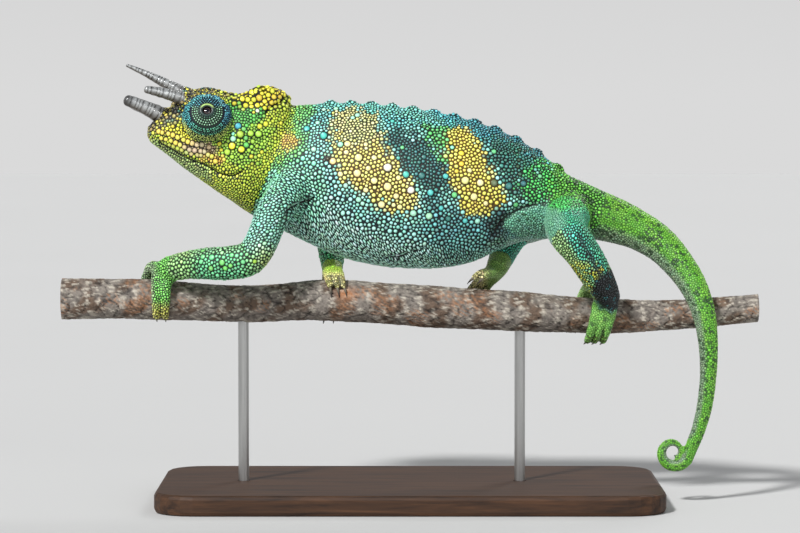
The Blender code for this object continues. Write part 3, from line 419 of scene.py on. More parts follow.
# Large scales on the side view: x, y, radius, colour name
DISC_COLOURS = {
    "cream": (252, 240, 160),
    "white": (240, 238, 216),
    "turquoise": (76, 194, 184),
    "teal": (34, 110, 106),
    "olive": (92, 110, 70),
    "green": (104, 206, 128),
    "pale": (170, 236, 200),
    "lime": (172, 220, 62),
    "yellow": (236, 230, 50),
    "gold": (244, 208, 56),
    "mint": (136, 232, 196),
    "leaf": (110, 204, 96),
    "sky": (64, 178, 190),
}
DISCS = (
    (340.7, 143.6, 2.6, "pale"), (347, 143.2, 3.0, "cream"), (374.1, 157.5, 2.4, "cream"),
    (358.6, 157, 3.7, "cream"), (332.7, 161.4, 3.0, "cream"), (357.7, 173.4, 3.6, "cream"),
    (373.8, 180.5, 3.3, "cream"), (387.5, 186.4, 3.7, "cream"), (387.7, 167.1, 3.7, "white"),
    (410.9, 190.4, 3.5, "white"), (381.3, 205.2, 3.0, "cream"), (358, 199.3, 2.5, "pale"),
    (413, 214.1, 2.8, "pale"), (428.8, 216.3, 3.0, "pale"), (430.5, 193.2, 3.0, "turquoise"),
    (454.1, 195.4, 2.6, "green"), (465.2, 221.3, 2.3, "turquoise"), (477.9, 222.1, 2.4, "pale"),
    (448.8, 219.5, 2.5, "teal"), (422.3, 175.2, 3.1, "teal"), (406.4, 173.9, 3.0, "turquoise"),
    (445.7, 176.3, 2.6, "turquoise"), (465.2, 180.2, 3.7, "cream"), (480.4, 182.9, 3.3, "cream"),
    (473.8, 197.1, 3.3, "cream"), (494.8, 182.9, 3.2, "olive"), (509.5, 185.5, 3.2, "teal"),
    (523.8, 182.9, 2.6, "teal"), (494.3, 150.7, 2.3, "green"), (323.8, 135.2, 3.3, "turquoise"),
    (306.8, 127.5, 2.8, "turquoise"), (310.4, 108.8, 2.2, "turquoise"),
    (323.8, 108.4, 1.9, "pale"), (300.5, 115.9, 2.1, "pale"), (313.9, 148.9, 2.4, "pale"),
    (302.9, 158.2, 2.2, "mint"), (313.9, 162.9, 2.2, "mint"), (357.7, 113.8, 2.3, "pale"),
    (335.9, 107.3, 2.1, "pale"), (352.3, 116.8, 1.9, "pale"), (402.3, 147.1, 2.0, "green"),
    (424.6, 156.1, 2.1, "teal"), (462.1, 152.5, 2.7, "gold"), (461.3, 163.2, 2.6, "gold"),
    (318, 122, 2.0, "pale"), (392, 120, 1.9, "turquoise"), (440, 135, 2.0, "green"),
    (366, 190, 2.4, "cream"), (396, 196, 2.6, "cream"), (400, 207, 2.3, "cream"),
    (345, 186, 2.2, "pale"), (340, 174, 2.4, "cream"), (346, 152, 2.3, "cream"),
    (368, 168, 2.4, "cream"), (399, 178, 2.4, "cream"), (366, 144, 2.1, "cream"),
    (486, 203, 2.3, "cream"), (457, 171, 2.1, "gold"), (470, 170, 2.2, "cream"),
    (540, 176, 2.1, "green"), (516, 205, 2.2, "green"), (441, 208, 2.3, "turquoise"),
)
HEAD_DISCS = (
    (238.6, 125.6, 3.0, "sky"), (244.6, 128.4, 2.4, "leaf"), (240.1, 133.5, 3.7, "lime"),
    (250.9, 132.9, 3.1, "lime"), (258.6, 133.5, 3.1, "lime"), (233.3, 139.3, 2.8, "pale"),
    (231.8, 145.9, 3.3, "yellow"), (241.4, 149.5, 3.1, "yellow"), (246.2, 144.4, 2.5, "leaf"),
    (253.5, 141.8, 2.1, "lime"), (245.8, 137.9, 2.2, "leaf"), (226.7, 152.7, 2.9, "lime"),
    (260.5, 126.9, 2.5, "yellow"), (266.3, 124.2, 2.4, "yellow"), (233.1, 133.8, 1.7, "mint"),
    (242, 157.1, 1.9, "lime"), (231.8, 157.1, 2.1, "lime"), (220.3, 150.4, 1.9, "yellow"),
    (249.5, 150.6, 1.8, "lime"), (257.4, 146.6, 1.7, "lime"), (226, 144.5, 2.0, "lime"),
    (219.5, 143.6, 2.1, "yellow"), (264.6, 137.6, 1.8, "lime"), (253, 125.6, 1.7, "lime"),
    (252, 157, 1.8, "yellow"), (262, 152, 1.7, "yellow"), (258, 164, 1.8, "lime"),
    (259, 91.9, 3.1, "gold"), (259.8, 97.4, 3.0, "gold"), (264.9, 90.8, 2.2, "yellow"),
    (268.4, 94.9, 2.6, "yellow"), (272.6, 90.8, 2.4, "yellow"), (278.0, 91.2, 2.3, "yellow"),
    (274.9, 96.2, 2.6, "gold"), (281.0, 96.0, 2.3, "gold"), (272.2, 101.4, 2.6, "gold"),
    (265.4, 101.2, 2.5, "yellow"), (247.6, 99.9, 2.5, "yellow"), (253.9, 99.8, 2.4, "yellow"),
    (246.2, 105.4, 2.4, "yellow"), (257.6, 104.6, 2.2, "yellow"), (257.9, 110.2, 1.8, "white"),
    (264.4, 107.4, 2.0, "yellow"), (234.4, 96.6, 2.5, "yellow"), (240.9, 99.2, 2.3, "yellow"),
    (234.8, 103.4, 2.1, "yellow"), (252.6, 94.0, 2.4, "yellow"), (246.8, 95.4, 2.1, "yellow"),
    (251.6, 105.4, 2.0, "yellow"), (279, 100.8, 2.0, "yellow"), (228.6, 93.6, 2.1, "yellow"),
    (222.6, 91.6, 1.9, "yellow"), (240.0, 106.6, 1.9, "lime"), (270.6, 87.6, 1.8, "yellow"),
)
ARM_DISCS = (
    (211, 256.5, 2.8, "green"), (221.7, 262.5, 2.7, "leaf"), (202.3, 255.8, 2.3, "green"),
    (200.3, 261.9, 2.2, "green"), (210, 269.2, 2.4, "leaf"), (231, 254.9, 2.2, "green"),
    (243, 262.5, 2.1, "green"), (224.4, 269.2, 2.2, "leaf"), (202.3, 249.6, 2.2, "leaf"),
    (258, 224, 2.2, "mint"), (254.5, 262.5, 1.9, "lime"), (230, 266.5, 2.0, "leaf"),
)
# Rows of plates along the lips: distance below the mouth line, first place along it, how far
# before its end the row stops, radius, where the pink begins, whether greenish
LIP_ROWS = (
    (-3.4, 3, 18, 2.35, (186, 196), False),
    (3.3, 8, 2, 2.3, (176, 192), False),
    (7.4, 10, 2, 2.0, (176, 192), True),
)

# Half the floor's width, and the lights: name, where it shines from, softness, strength
FLOOR_REACH = 4000
LIGHTS = (
    ("key", (-0.5, -0.75, 0.8), 7.0, 3.6),
    ("rim", (0.5, 0.8, 0.7), 20.0, 0.7),
    ("fill", (0.7, -0.9, 0.25), 30.0, 0.35),
)


# ---------------------------------------------------------------- small tools


def light(colour):
    """Light values of a colour given from 0 to 255."""
    c = np.asarray(colour, float) / 255
    return np.where(c <= 0.04045, c / 12.92, ((c + 0.055) / 1.055) ** 2.4)


def mix(a, b, share):
    """Colours drawn from a towards b, by a share that stays between 0 and 1."""
    return a + (b - a) * np.clip(share, 0, 1)[..., None]


def layered(base, *layers):
    """A colour with others laid over it: each layer is a share and a colour."""
    for share, colour in layers:
        base = mix(base, light(colour), share)
    return base


def towards(values, wanted, share):
    """Values drawn towards a wanted one by a share from 0 to 1."""
    return values * (1 - share) + wanted * share


def soft_step(low, high, x):
    """0 up to low, 1 from high on and smooth between; low may be the greater of the two."""
    t = np.clip((np.asarray(x, float) - low) / (high - low), 0, 1)
    return t * t * (3 - 2 * t)


def hump(x, middle, width):
    """1 at the middle, falling off smoothly on both sides."""
    return np.exp(-((x - middle) / width) ** 2)


def unit(v):
    return v / np.maximum(np.linalg.norm(v, axis=-1, keepdims=True), 1e-9)


def full_turn(steps):
    return np.linspace(0, 2 * math.pi, steps, endpoint=False)


def ripple(points, size, seed):
    """A smooth uneven value between about -1 and 1, in lumps of about the given size."""
    rng = np.random.default_rng(seed)
    pace = 2 * math.pi / size
    total = np.zeros(len(points))
    for _ in range(RIPPLE_WAVES):
        way = unit(rng.normal(size=points.shape[1]))
        total += np.sin(points @ way * pace * rng.uniform(0.6, 1.6) + rng.uniform(0, 6.28))
    return total / 3


def curve_rows(rows, steps):
    """The rows with steps - 1 more between each two, on a smooth curve in every column."""
    rows = np.array(rows, float)
    padded = np.vstack([2 * rows[0] - rows[1], rows, 2 * rows[-1] - rows[-2]])
    found = []
    for i in range(1, len(padded) - 2):
        a, b, c, d = padded[i - 1 : i + 3]
        for step in range(steps):
            t = step / steps
            bend = (2 * a - 5 * b + 4 * c - d) * t**2 + (3 * b - 3 * c + d - a) * t**3
            found.append(0.5 * (2 * b + (c - a) * t + bend))
    found.append(rows[-1])
    return np.array(found)


def run_along(line):
    """Distance covered at each row of a line."""
    return np.concatenate([[0], np.cumsum(np.linalg.norm(np.diff(line, axis=0), axis=1))])


def point_tree(points):
    """A search tree over rows that start with x, y, z."""
    tree = KDTree(len(points))
    for i, point in enumerate(points.tolist()):
        tree.insert(point[:3], i)
    tree.balance()
    return tree


def paint(mesh, colours):
    """Gives every point of a mesh its own colour."""
    shade = mesh.color_attributes.new("Markings", "FLOAT_COLOR", "POINT")
    full = np.ones((len(colours), 4), np.float32)
    full[:, :3] = colours
    shade.data.foreach_set("color", full.ravel())


def mesh_object(name, points, faces, material, colours=None, patches=None):
    """An object from arrays: points in millimetres, and arrays of triangles or quads."""
    mesh = bpy.data.meshes.new(name)
    points = np.asarray(points, np.float32) * MM
    mesh.vertices.add(len(points))
    mesh.vertices.foreach_set("co", points.ravel())
    corners = np.concatenate([np.asarray(f, np.int32).ravel() for f in faces])
    totals = np.concatenate([np.full(len(f), f.shape[1], np.int32) for f in faces])
    starts = np.concatenate([[0], np.cumsum(totals)[:-1]]).astype(np.int32)
    mesh.loops.add(len(corners))
    mesh.loops.foreach_set("vertex_index", corners)
    mesh.polygons.add(len(totals))
    mesh.polygons.foreach_set("loop_start", starts)
    mesh.update(calc_edges=True)
    mesh.validate()
    if colours is not None:
        paint(mesh, colours)
    if patches is not None:
        layer = mesh.uv_layers.new(name="OFBake")
        layer.uv.foreach_set("vector", np.asarray(patches, np.float32)[corners].ravel())
    mesh.shade_smooth()
    mesh.materials.append(material)
    return placed(name, mesh)


def placed(name, data):
    """A new object in the scene that holds the data."""
    made = bpy.data.objects.new(name, data)
    bpy.context.scene.collection.objects.link(made)
    return made


def applied(obj):
    """The object with its modifiers turned into plain mesh."""
    bpy.context.view_layer.update()
    graph = bpy.context.evaluated_depsgraph_get()
    mesh = bpy.data.meshes.new_from_object(obj.evaluated_get(graph))
    old = obj.data
    obj.modifiers.clear()
    obj.data = mesh
    bpy.data.meshes.remove(old)
    return obj


def thinned(obj, share):
    """The object with its faces brought down to a share of them."""
    thin = obj.modifiers.new("fewer faces", "DECIMATE")
    thin.ratio = share
    return applied(obj)


def mesh_arrays(mesh):
    """Points in millimetres and triangles of a mesh."""
    mesh.calc_loop_triangles()
    points = np.empty(len(mesh.vertices) * 3, np.float32)
    mesh.vertices.foreach_get("co", points)
    faces = np.empty(len(mesh.loop_triangles) * 3, np.int32)
    mesh.loop_triangles.foreach_get("vertices", faces)
    return points.reshape(-1, 3).astype(float) / MM, faces.reshape(-1, 3)


def ring_quads(a, b):
    """Quads between two rows of point numbers that each close on themselves."""
    return np.stack([a, np.roll(a, -1, 1), np.roll(b, -1, 1), b], -1).reshape(-1, 4)


def tube(rings):
    """Points, quads and end triangles of a closed tube, from rings of points."""
    rings = np.asarray(rings, float)
    count, sides = rings.shape[:2]
    index = np.arange(count * sides).reshape(count, sides)
    points = rings.reshape(-1, 3)
    ends = np.stack([rings[0].mean(0), rings[-1].mean(0)])
    first, last = len(points), len(points) + 1
    caps = np.concatenate([
        np.stack([np.roll(index[0], -1), index[0], np.full(sides, first)], -1),
        np.stack([index[-1], np.roll(index[-1], -1), np.full(sides, last)], -1),
    ])
    return np.vstack([points, ends]), ring_quads(index[:-1], index[1:]), caps


def joined(shapes):
    """Many shapes as one, each of them points and then arrays of faces."""
    start, found = 0, []
    for points, *faces in shapes:
        found.append([points] + [f + start for f in faces])
        start += len(points)
    return [np.vstack(arrays) for arrays in zip(*found)]


def path_rings(rows, sides, sideways):
    """Rings square to a path whose rows hold x, y, z and radius."""
    rows = np.asarray(rows, float)
    along = unit(np.gradient(rows[:, :3], axis=0))
    side = np.array(sideways, float)
    cos, sin = np.cos(full_turn(sides))[:, None], np.sin(full_turn(sides))[:, None]
    rings = []
    for row, way in zip(rows, along):
        side = side - way * (side @ way)
        side = side / np.linalg.norm(side)
        rings.append(row[:3] + row[3] * (cos * side + sin * np.cross(way, side)))
    return np.array(rings)


# ---------------------------------------------------------------- places


def head_place():
    turn = Matrix.Rotation(math.radians(HEAD_YAW), 4, "Z")
    tilt = Matrix.Rotation(math.radians(HEAD_ROLL), 4, "X")
    return Matrix.Translation(HEAD_PIVOT) @ turn @ tilt @ Matrix.Translation(-HEAD_PIVOT)


PLACE = head_place()


def moved(matrix, points):
    """Points carried by a 4 x 4 matrix."""
    full = np.array(matrix)
    return points @ full[:3, :3].T + full[:3, 3]


def side_view(points):
    """Where points show on the side view."""
    tilt = math.radians(ELEVATION)
    x, y, z = (np.asarray(points) - AIM).T
    far = (DISTANCE + y * math.cos(tilt) - z * math.sin(tilt)) / DISTANCE
    up = z * math.cos(tilt) + y * math.sin(tilt)
    return np.stack([MIDDLE[0] + x / far / STEP, MIDDLE[1] - up / far / STEP], 1)


def left_twin(points):
    """Points of the right side brought to the left, allowing for the head's turn and roll."""
    body = points * (1, -1, 1)
    body[:, 1] = -np.abs(points[:, 1])
    head = moved(PLACE.inverted(), points)
    head[:, 1] = -np.abs(head[:, 1])
    head = moved(PLACE, head)
    share = soft_step(*HEAD_STARTS, points[:, 0])[:, None]
    return body + (head - body) * share


def turret_frame(side):
    """A turret's place: its +Z is the way the eye looks."""
    x, y, z = TURRET_CENTRE
    turn = Matrix.Rotation(math.radians(-side * TURRET_TURN_FORWARD), 4, "Z")
    lay = Matrix.Rotation(math.radians(side * (90 - TURRET_TILT_UP)), 4, "X")
    return PLACE @ Matrix.Translation((x, side * y, z)) @ turn.inverted() @ lay.inverted()


def turret_axes(side):
    """Centre of a turret, the way it looks, up across it and forward across it."""
    frame = turret_frame(side)
    centre = np.array(frame.translation)
    gaze = np.array(frame.to_3x3() @ Vector((0, 0, 1)))
    up = np.array(PLACE.to_3x3() @ Vector((0, 0, 1)))
    up = unit(up - gaze * (up @ gaze))
    forward = np.cross(up, gaze)
    forward *= np.sign(-forward[0])
    return centre, gaze, up, forward


def branch_at(x):
    """Height of the branch's axis and its radius."""
    table = np.array(BRANCH)
    return tuple(np.interp(x, table[:, 0], table[:, i]) for i in (1, 2))


def toe_paths(grip):
    """One path for each toe of a bundle, as in the solids: x, y, z, radius."""
    side, toes, xs, angles, lifts, spreads, radii = grip

    def between(ends, t):
        return ends[0] + (ends[1] - ends[0]) * t

    paths = []
    for toe in range(toes):
        offset = toe - (toes - 1) / 2
        path = []
        for t in np.arange(TOE_STEPS + 1) / TOE_STEPS:
            x = between(xs, t) + offset * between(spreads, t)
            radius = between(radii, t**0.8)
            height, bark = branch_at(x)
            reach = bark + radius + lifts[0] + (lifts[1] - lifts[0]) * t
            angle = math.radians(between(angles, t))
            path.append((x, side * reach * math.sin(angle), height + reach * math.cos(angle),
                         radius))
        paths.append(np.array(path))
    return paths


def claw_rows(path):
    """The curved path of a claw: x, y, z, radius."""
    last = path[-1, :3]
    along = unit(last - path[-2, :3])
    height, _ = branch_at(last[0])
    inward = unit(np.array((last[0], 0, height)) - last)
    rows = []
    for t in np.linspace(0, 1, CLAW_STEPS):
        reach = path[-1, 3] * 0.7 - CLAW_ROOT + (CLAW_LENGTH + CLAW_ROOT) * t
        point = last + along * reach + inward * (0.25 + 0.75 * t * t)
        rows.append((*point, CLAW_RADIUS + (CLAW_TIP - CLAW_RADIUS) * t**1.1))
    return np.array(rows)


def tail_line():
    """The tail's middle line, with its curl."""
    rows = [tuple(row) for row in curve_rows(TAIL, 6)]
    for step in range(1, CURL_STEPS + 1):
        t = step / CURL_STEPS
        sweep = math.radians(CURL_TURN) * t
        angle = math.radians(CURL_START) - sweep
        radius = CURL_RADIUS - CURL_SHRINK * sweep
        x = CURL_CENTRE[0] + radius * math.cos(angle)
        z = CURL_CENTRE[2] + radius * math.sin(angle)
        rows.append((x, CURL_CENTRE[1] + CURL_DRIFT * t, z, CURL_DEPTH - CURL_TAPER * t**1.15))
    return np.array(rows)


# ---------------------------------------------------------------- the skin's shape


def welded(node):
    """Corner points, their normals and triangles of a solid, in millimetres."""
    bm = bmesh.new()
    bm.from_mesh(node.data)
    bmesh.ops.remove_doubles(bm, verts=bm.verts, dist=1e-6)
    bmesh.ops.triangulate(bm, faces=bm.faces)
    bm.verts.index_update()
    bm.normal_update()
    points = np.array([v.co for v in bm.verts], float) / MM
    normals = np.array([v.normal for v in bm.verts], float)
    faces = np.array([[v.index for v in f.verts] for f in bm.faces])
    bm.free()
    return points, normals, faces


def without_claws(name, points):
    """A foot's points, with its claws drawn back into the toes' round tips."""
    paths = toe_paths(GRIPS[name])
    lines = [np.vstack([path, claw_rows(path)])[:, :3] for path in paths]
    away = [np.linalg.norm(points[:, None] - line[None], axis=2).min(1) for line in lines]
    own = np.argmin(away, axis=0)
    for toe, path in enumerate(paths):
        last, radius = path[-1, :3], path[-1, 3]
        along = unit(last - path[-2, :3])
        off = points - last
        far = np.linalg.norm(off, axis=1)
        claw = (own == toe) & (off @ along > 0) & (far < radius + CLAW_LENGTH + CLAW_ROOM)
        shrink = np.where(claw, np.minimum(1, radius * ROUND_TIP / np.maximum(far, 1e-6)), 1)
        points = last + off * shrink[:, None]
    return points


def plug(name):
    """A short stub of flesh that fills the room round a horn's root."""
    root, tip, radius = np.array(HORNS[name][0]), np.array(HORNS[name][1]), HORNS[name][2]
    along = unit(tip - root)
    rows = [(*(root + along * reach), radius + wider) for reach, wider in PLUG]
    points, quads, caps = tube(path_rings(rows, 20, (0, 1, 0)))
    triangles = np.vstack([quads[:, [0, 1, 2]], quads[:, [0, 2, 3]], caps])
    return moved(PLACE, points), triangles


def grown_together(nodes):
    """One closed surface round all the flesh, a GAP outside it: points and triangles."""
    shapes = []
    for name in FLESH:
        points, normals, faces = welded(nodes[name])
        if name in GRIPS:
            points = without_claws(name, points)
        shapes.append((points + normals * GAP, faces))
    shapes += [plug(name) for name in HORNS]
    points, faces = joined(shapes)
    shell = mesh_object("flesh", points, [faces], plain_material("flesh"))
    remesh = shell.modifiers.new("one surface", "REMESH")
    remesh.mode = "VOXEL"
    remesh.voxel_size = VOXEL * MM
    applied(shell)
    points, faces = mesh_arrays(shell.data)
    bpy.data.objects.remove(shell, do_unlink=True)
    return largest_surface(points, faces)


def edges_of(faces):
    """Pairs of points that an edge joins, each pair once."""
    edges = np.sort(np.vstack([faces[:, [0, 1]], faces[:, [1, 2]], faces[:, [2, 0]]]), axis=1)
    return np.unique(edges, axis=0)


def largest_surface(points, faces):
    """The surface with the most points, out of all that don't touch one another."""
    edges = edges_of(faces)
    label = np.arange(len(points))
    while True:
        low = np.minimum(label[edges[:, 0]], label[edges[:, 1]])
        new = label.copy()
        np.minimum.at(new, edges[:, 0], low)
        np.minimum.at(new, edges[:, 1], low)
        new = new[new]
        if (new == label).all():
            break
        label = new
    kept = label == np.bincount(label).argmax()
    index = np.cumsum(kept) - 1
    return points[kept], index[faces[kept[faces[:, 0]]]]


def blurred(values, edges, passes, share=0.5):
    """Values at the skin's points, each drawn towards its neighbours."""
    values = np.array(values, float)
    flat = values.reshape(len(values), -1)
    count = np.bincount(edges.ravel(), minlength=len(flat))
    for _ in range(passes):
        for column in range(flat.shape[1]):
            held = flat[:, column]
            total = np.bincount(edges[:, 0], held[edges[:, 1]], len(flat))
            total += np.bincount(edges[:, 1], held[edges[:, 0]], len(flat))
            flat[:, column] = held + share * (total / count - held)
    return flat.reshape(values.shape)


def point_normals(points, faces):
    a, b, c = (points[faces[:, i]] for i in range(3))
    across = np.cross(b - a, c - a)
    total = np.zeros_like(points)
    for i in range(3):
        for column in range(3):
            total[:, column] += np.bincount(faces[:, i], across[:, column], len(points))
    return unit(total)


def face_tree(points, faces):
    return BVHTree.FromPolygons(points.tolist(), faces.tolist())


def nearest_parts(nodes, points):
    """The index in FLESH of the solid nearest to each point."""
    shapes = [mesh_arrays(nodes[name].data) for name in FLESH]
    owner = np.repeat(np.arange(len(FLESH)), [len(faces) for _, faces in shapes])
    tree = face_tree(*joined(shapes))
    return np.array([owner[tree.find_nearest(p)[2]] for p in points.tolist()])


def to_edge(seen, p, q):
    """Distance of each place from the straight edge between two corners."""
    edge, off = q - p, seen - p
    t = np.clip(off @ edge / (edge @ edge), 0, 1)
    return np.linalg.norm(off - t[:, None] * edge, axis=1)


def inside(seen, outline):
    """How far inside a closed outline each place lies, less than nothing outside it."""
    corners = np.array(outline, float)
    best = np.full(len(seen), 1e9)
    within = np.zeros(len(seen), bool)
    for p, q in zip(corners, np.roll(corners, -1, 0)):
        best = np.minimum(best, to_edge(seen, p, q))
        if p[1] != q[1]:
            crosses = (p[1] > seen[:, 1]) != (q[1] > seen[:, 1])
            edge = q - p
            within ^= crosses & (seen[:, 0] < p[0] + (seen[:, 1] - p[1]) / edge[1] * edge[0])
    return np.where(within, best, -best)


def near_line(seen, line):
    """Distance of each place from an open line on the side view."""
    line = np.array(line, float)
    return np.min([to_edge(seen, p, q) for p, q in zip(line, line[1:])], axis=0)


class Skin:
    """The skin's points with all that is known at each: part, place on the side view, scales."""

    def __init__(self, nodes):
        self.points, self.faces = grown_together(nodes)
        self.edges = edges_of(self.faces)
        for _ in range(SOFTENING):
            for share in SOFTEN_IN_AND_OUT:
                self.points = blurred(self.points, self.edges, 1, share)
        self.points = blurred(self.points, self.edges, 2, 0.4)
        self.normals = point_normals(self.points, self.faces)
        self.part = nearest_parts(nodes, self.points)
        self.bare = np.zeros(len(self.points), bool)
        self.twin = left_twin(self.points)
        self.seen = side_view(self.twin)
        self.set_scales()
        self.shape()

    def on(self, *prefixes):
        """Which points are on parts whose names start so."""
        chosen = [name.startswith(prefixes) for name in FLESH]
        return np.array(chosen)[self.part]

    def set_scales(self):
        """Spacing, length, height and fill of the scales at every point, and their lie."""
        table = [next(v for k, v in SCALES.items() if name.startswith(k)) for name in FLESH]
        spacing, length, height, fill = np.array(table)[self.part].T
        lie = np.zeros_like(self.points)
        lie[:] = (0.35, 0, 1)
        seen = self.seen
        trunk = self.on("torso", "pelvis", "neck")
        x, y = seen.T

        def area(outline, soft, where=trunk):
            return soft_step(-soft, soft, inside(seen, outline)) * where

        # the trunk's fields of other scales
        back = area(AREAS["back"][0], 8)
        spacing = towards(spacing, 0.86, back)
        spacing = towards(spacing, 0.92, area(FRONT_OF_BACK, 12))
        spacing = towards(spacing, 0.92, soft_step(500, 535, x) * trunk * (1 - back))
        spacing = towards(spacing, 0.98, area(AREAS["dark, front"][0], 8))
        strings = area(BELLY_STRINGS, 8)
        spacing = towards(spacing, 1.0, strings)
        length = towards(length, 3.0, strings)
        creased = area(NECK_CREASES, 6)
        length = np.maximum(length, 1 + 0.8 * creased)
        spacing = spacing * (1 - 0.6 * creased) + 0.86 * 0.6 * creased
        wander = 0.25 * ripple(self.points, 16, 5)
        lie[:, 0] = np.where(strings > 0.3, -0.38 + wander, lie[:, 0])
        lie[creased > 0.5] = (0.8, 0, -0.6)
        # throat and upper arm
        throat = (self.on("neck") & (x < 286)) | (self.on("jaw") & (y > x * 0.55 + 60))
        arm = self.on("upper_arm_left") & (y < 245)
        for where, way, long in ((throat, (0.75, 0, 0.65), 1.7), (arm, (0.9, 0, 0.35), 1.3)):
            lie[where] = way
            length[where] = long
        # plates of the head
        head = self.on("head")
        spacing[head & (x < 200) & (y < 124)] = 0.84
        spacing[head & (x < 192) & (y > 112) & (y < 132)] = 1.0
        spacing[head & (x > 222) & (y < 109)] = 1.26
        # groin and thigh
        groin = area(SMOOTH_GROIN, 3, self.on("torso", "pelvis"))
        thigh_top = area(THIGH_TOP, 3, self.on("thigh"))
        spacing = towards(spacing, 0.66, groin)
        fill = towards(fill, 0.88, groin)
        spacing = towards(spacing, 0.86, thigh_top)
        length = towards(length, 1.0, thigh_top)
        self.smooth = np.clip(self.on(*SMOOTH) * (1 - thigh_top) + groin, 0, 1)
        spacing = towards(spacing, 0.6, soft_step(9.4, 7.9, self.eye_distance()) * head)
        fields = np.stack([spacing, length, height, fill], 1)
        self.spacing, self.length, self.height, self.fill = blurred(fields, self.edges, 8).T
        self.lie = lie

    def eye_distance(self):
        """How far each point is from the axis of the nearer eye."""
        best = np.full(len(self.points), 99.0)
        for side in (-1, 1):
            centre, gaze, _, _ = turret_axes(side)
            off = self.points - centre
            ahead = off @ gaze
            across = np.linalg.norm(off - ahead[:, None] * gaze, axis=1)
            best = np.where(ahead > -4, np.minimum(best, across), best)
        return best

    def toe_gaps(self):
        """How nearly each point lies between two toes of a bundle, towards their tips."""
        found = np.zeros(len(self.points))
        for name, grip in GRIPS.items():
            mine = np.flatnonzero(self.on(name))
            lines = np.array([curve_rows(path[3:, :3], 4) for path in toe_paths(grip)])
            away = np.linalg.norm(self.points[mine][:, None, None] - lines[None], axis=3)
            near = np.sort(away.min(2), axis=1)
            run = away.min(1).argmin(1) / lines.shape[1]
            found[mine] = hump(near[:, 1] - near[:, 0], 0, 0.5) * soft_step(0.05, 0.5, run)
        return found

    def shape(self):
        """Draws the skin in by the coat's depth and sinks its folds."""
        side = soft_step(0.15, 0.45, np.abs(self.normals[:, 1]))
        head = self.on("head", "jaw", "neck")
        trunk = self.on("torso", "neck", "pelvis", "upper_arm")

        def groove(line, width, where):
            return np.exp(-(near_line(self.seen, line) / width) ** 2) * side * where

        mouth = groove(LIP_LINE, 1.1, head)
        fold = groove(JAW_FOLD, 1.7, head)
        casque = groove(CASQUE_FOLD, 2.0, head)
        armpit = groove(ARMPIT, 2.2, trunk)
        groin = groove(GROIN, 3.4, trunk)
        belly = groove(BELLY_FOLD, 1.6, trunk)
        eye = hump(self.eye_distance(), 7.75, 0.5) * head
        toes = self.toe_gaps()
        depth = GAP + 0.9 * self.height * self.spacing
        depth += 0.5 * mouth + 1.2 * fold + 1.1 * casque + 1.6 * armpit + 1.2 * groin + 0.8 * belly
        depth += 0.35 * eye + 0.7 * toes
        # How deep each point lies in a fold: it keeps scales out of the deepest, and markings()
        # paints shade into the folds by it
        self.fold = 0.85 * mouth + fold + casque + armpit + 0.9 * groin + 0.9 * belly + 0.85 * toes
        self.fold = np.clip(self.fold, 0, 1)
        tip = self.on("tail_6")
        depth[tip] = np.minimum(depth[tip], GAP + TAIL_TIP_DEPTH)
        depth = blurred(depth, self.edges, 2)
        self.points = self.points - self.normals * depth[:, None]
        self.points = blurred(self.points, self.edges, 2, 0.4)
        self.normals = point_normals(self.points, self.faces)
        self.tree = face_tree(self.points, self.faces)


# ---------------------------------------------------------------- markings


def markings(skin):
    """Colours of the scales and of the skin between them, at every point of the skin."""
    count = len(skin.points)
    rng = np.random.default_rng(23)
    scale = np.tile(light(MINT[0]), (count, 1))
    ground = np.tile(light(MINT[1]), (count, 1))

    def lay(share, colour, between):
        share = np.asarray(share, float)
        scale[:] = mix(scale, light(colour), share)
        ground[:] = mix(ground, light(between), share)

    def lay_areas(areas, where):
        for number, (outline, soft, wander, colour, between) in enumerate(areas.values()):
            edge = inside(skin.seen, outline) + wander * ripple(skin.twin, 6, 40 + number)
            edge += 0.8 * wander * ripple(skin.twin, 1.9, 60 + number)
            edge += 0.5 * wander * rng.normal(size=count)
            lay(soft_step(-soft, soft, edge) * where, colour, between)

    head = skin.on("head", "jaw", "eye_turret")
    lay_areas(AREAS, skin.on("neck", "torso", "pelvis"))
    lay(head, *HEAD_GREEN)
    lay_areas(HEAD_AREAS, head)
    brow = soft_step(-4, 4, inside(skin.seen, HEAD_AREAS["snout"][0])) * head
    for often, colour, between in BROW_FLECKS:
        lay(brow * (rng.random(count) < often), colour, between)
    lay_arms(skin, lay)
    lay_legs(skin, lay)
    lay_toe_bars(skin, lay)
    lay_tail(skin, lay)
    under = soft_step(-0.35, -0.85, skin.normals[:, 2]) * skin.on("torso", "pelvis")
    lay(under * 0.6, (150, 205, 180), (30, 74, 66))
    # Painted shade: the skin between the scales is darkened, less where the scales lie flat, and
    # skin and scales in the folds are darkened more
    ground *= ((0.4 + 0.5 * skin.smooth) * (1 - 0.9 * skin.fold))[:, None]
    scale *= (1 - 0.75 * soft_step(0.3, 0.9, skin.fold))[:, None]
    lay_turrets(skin, scale, ground)
    return scale, ground


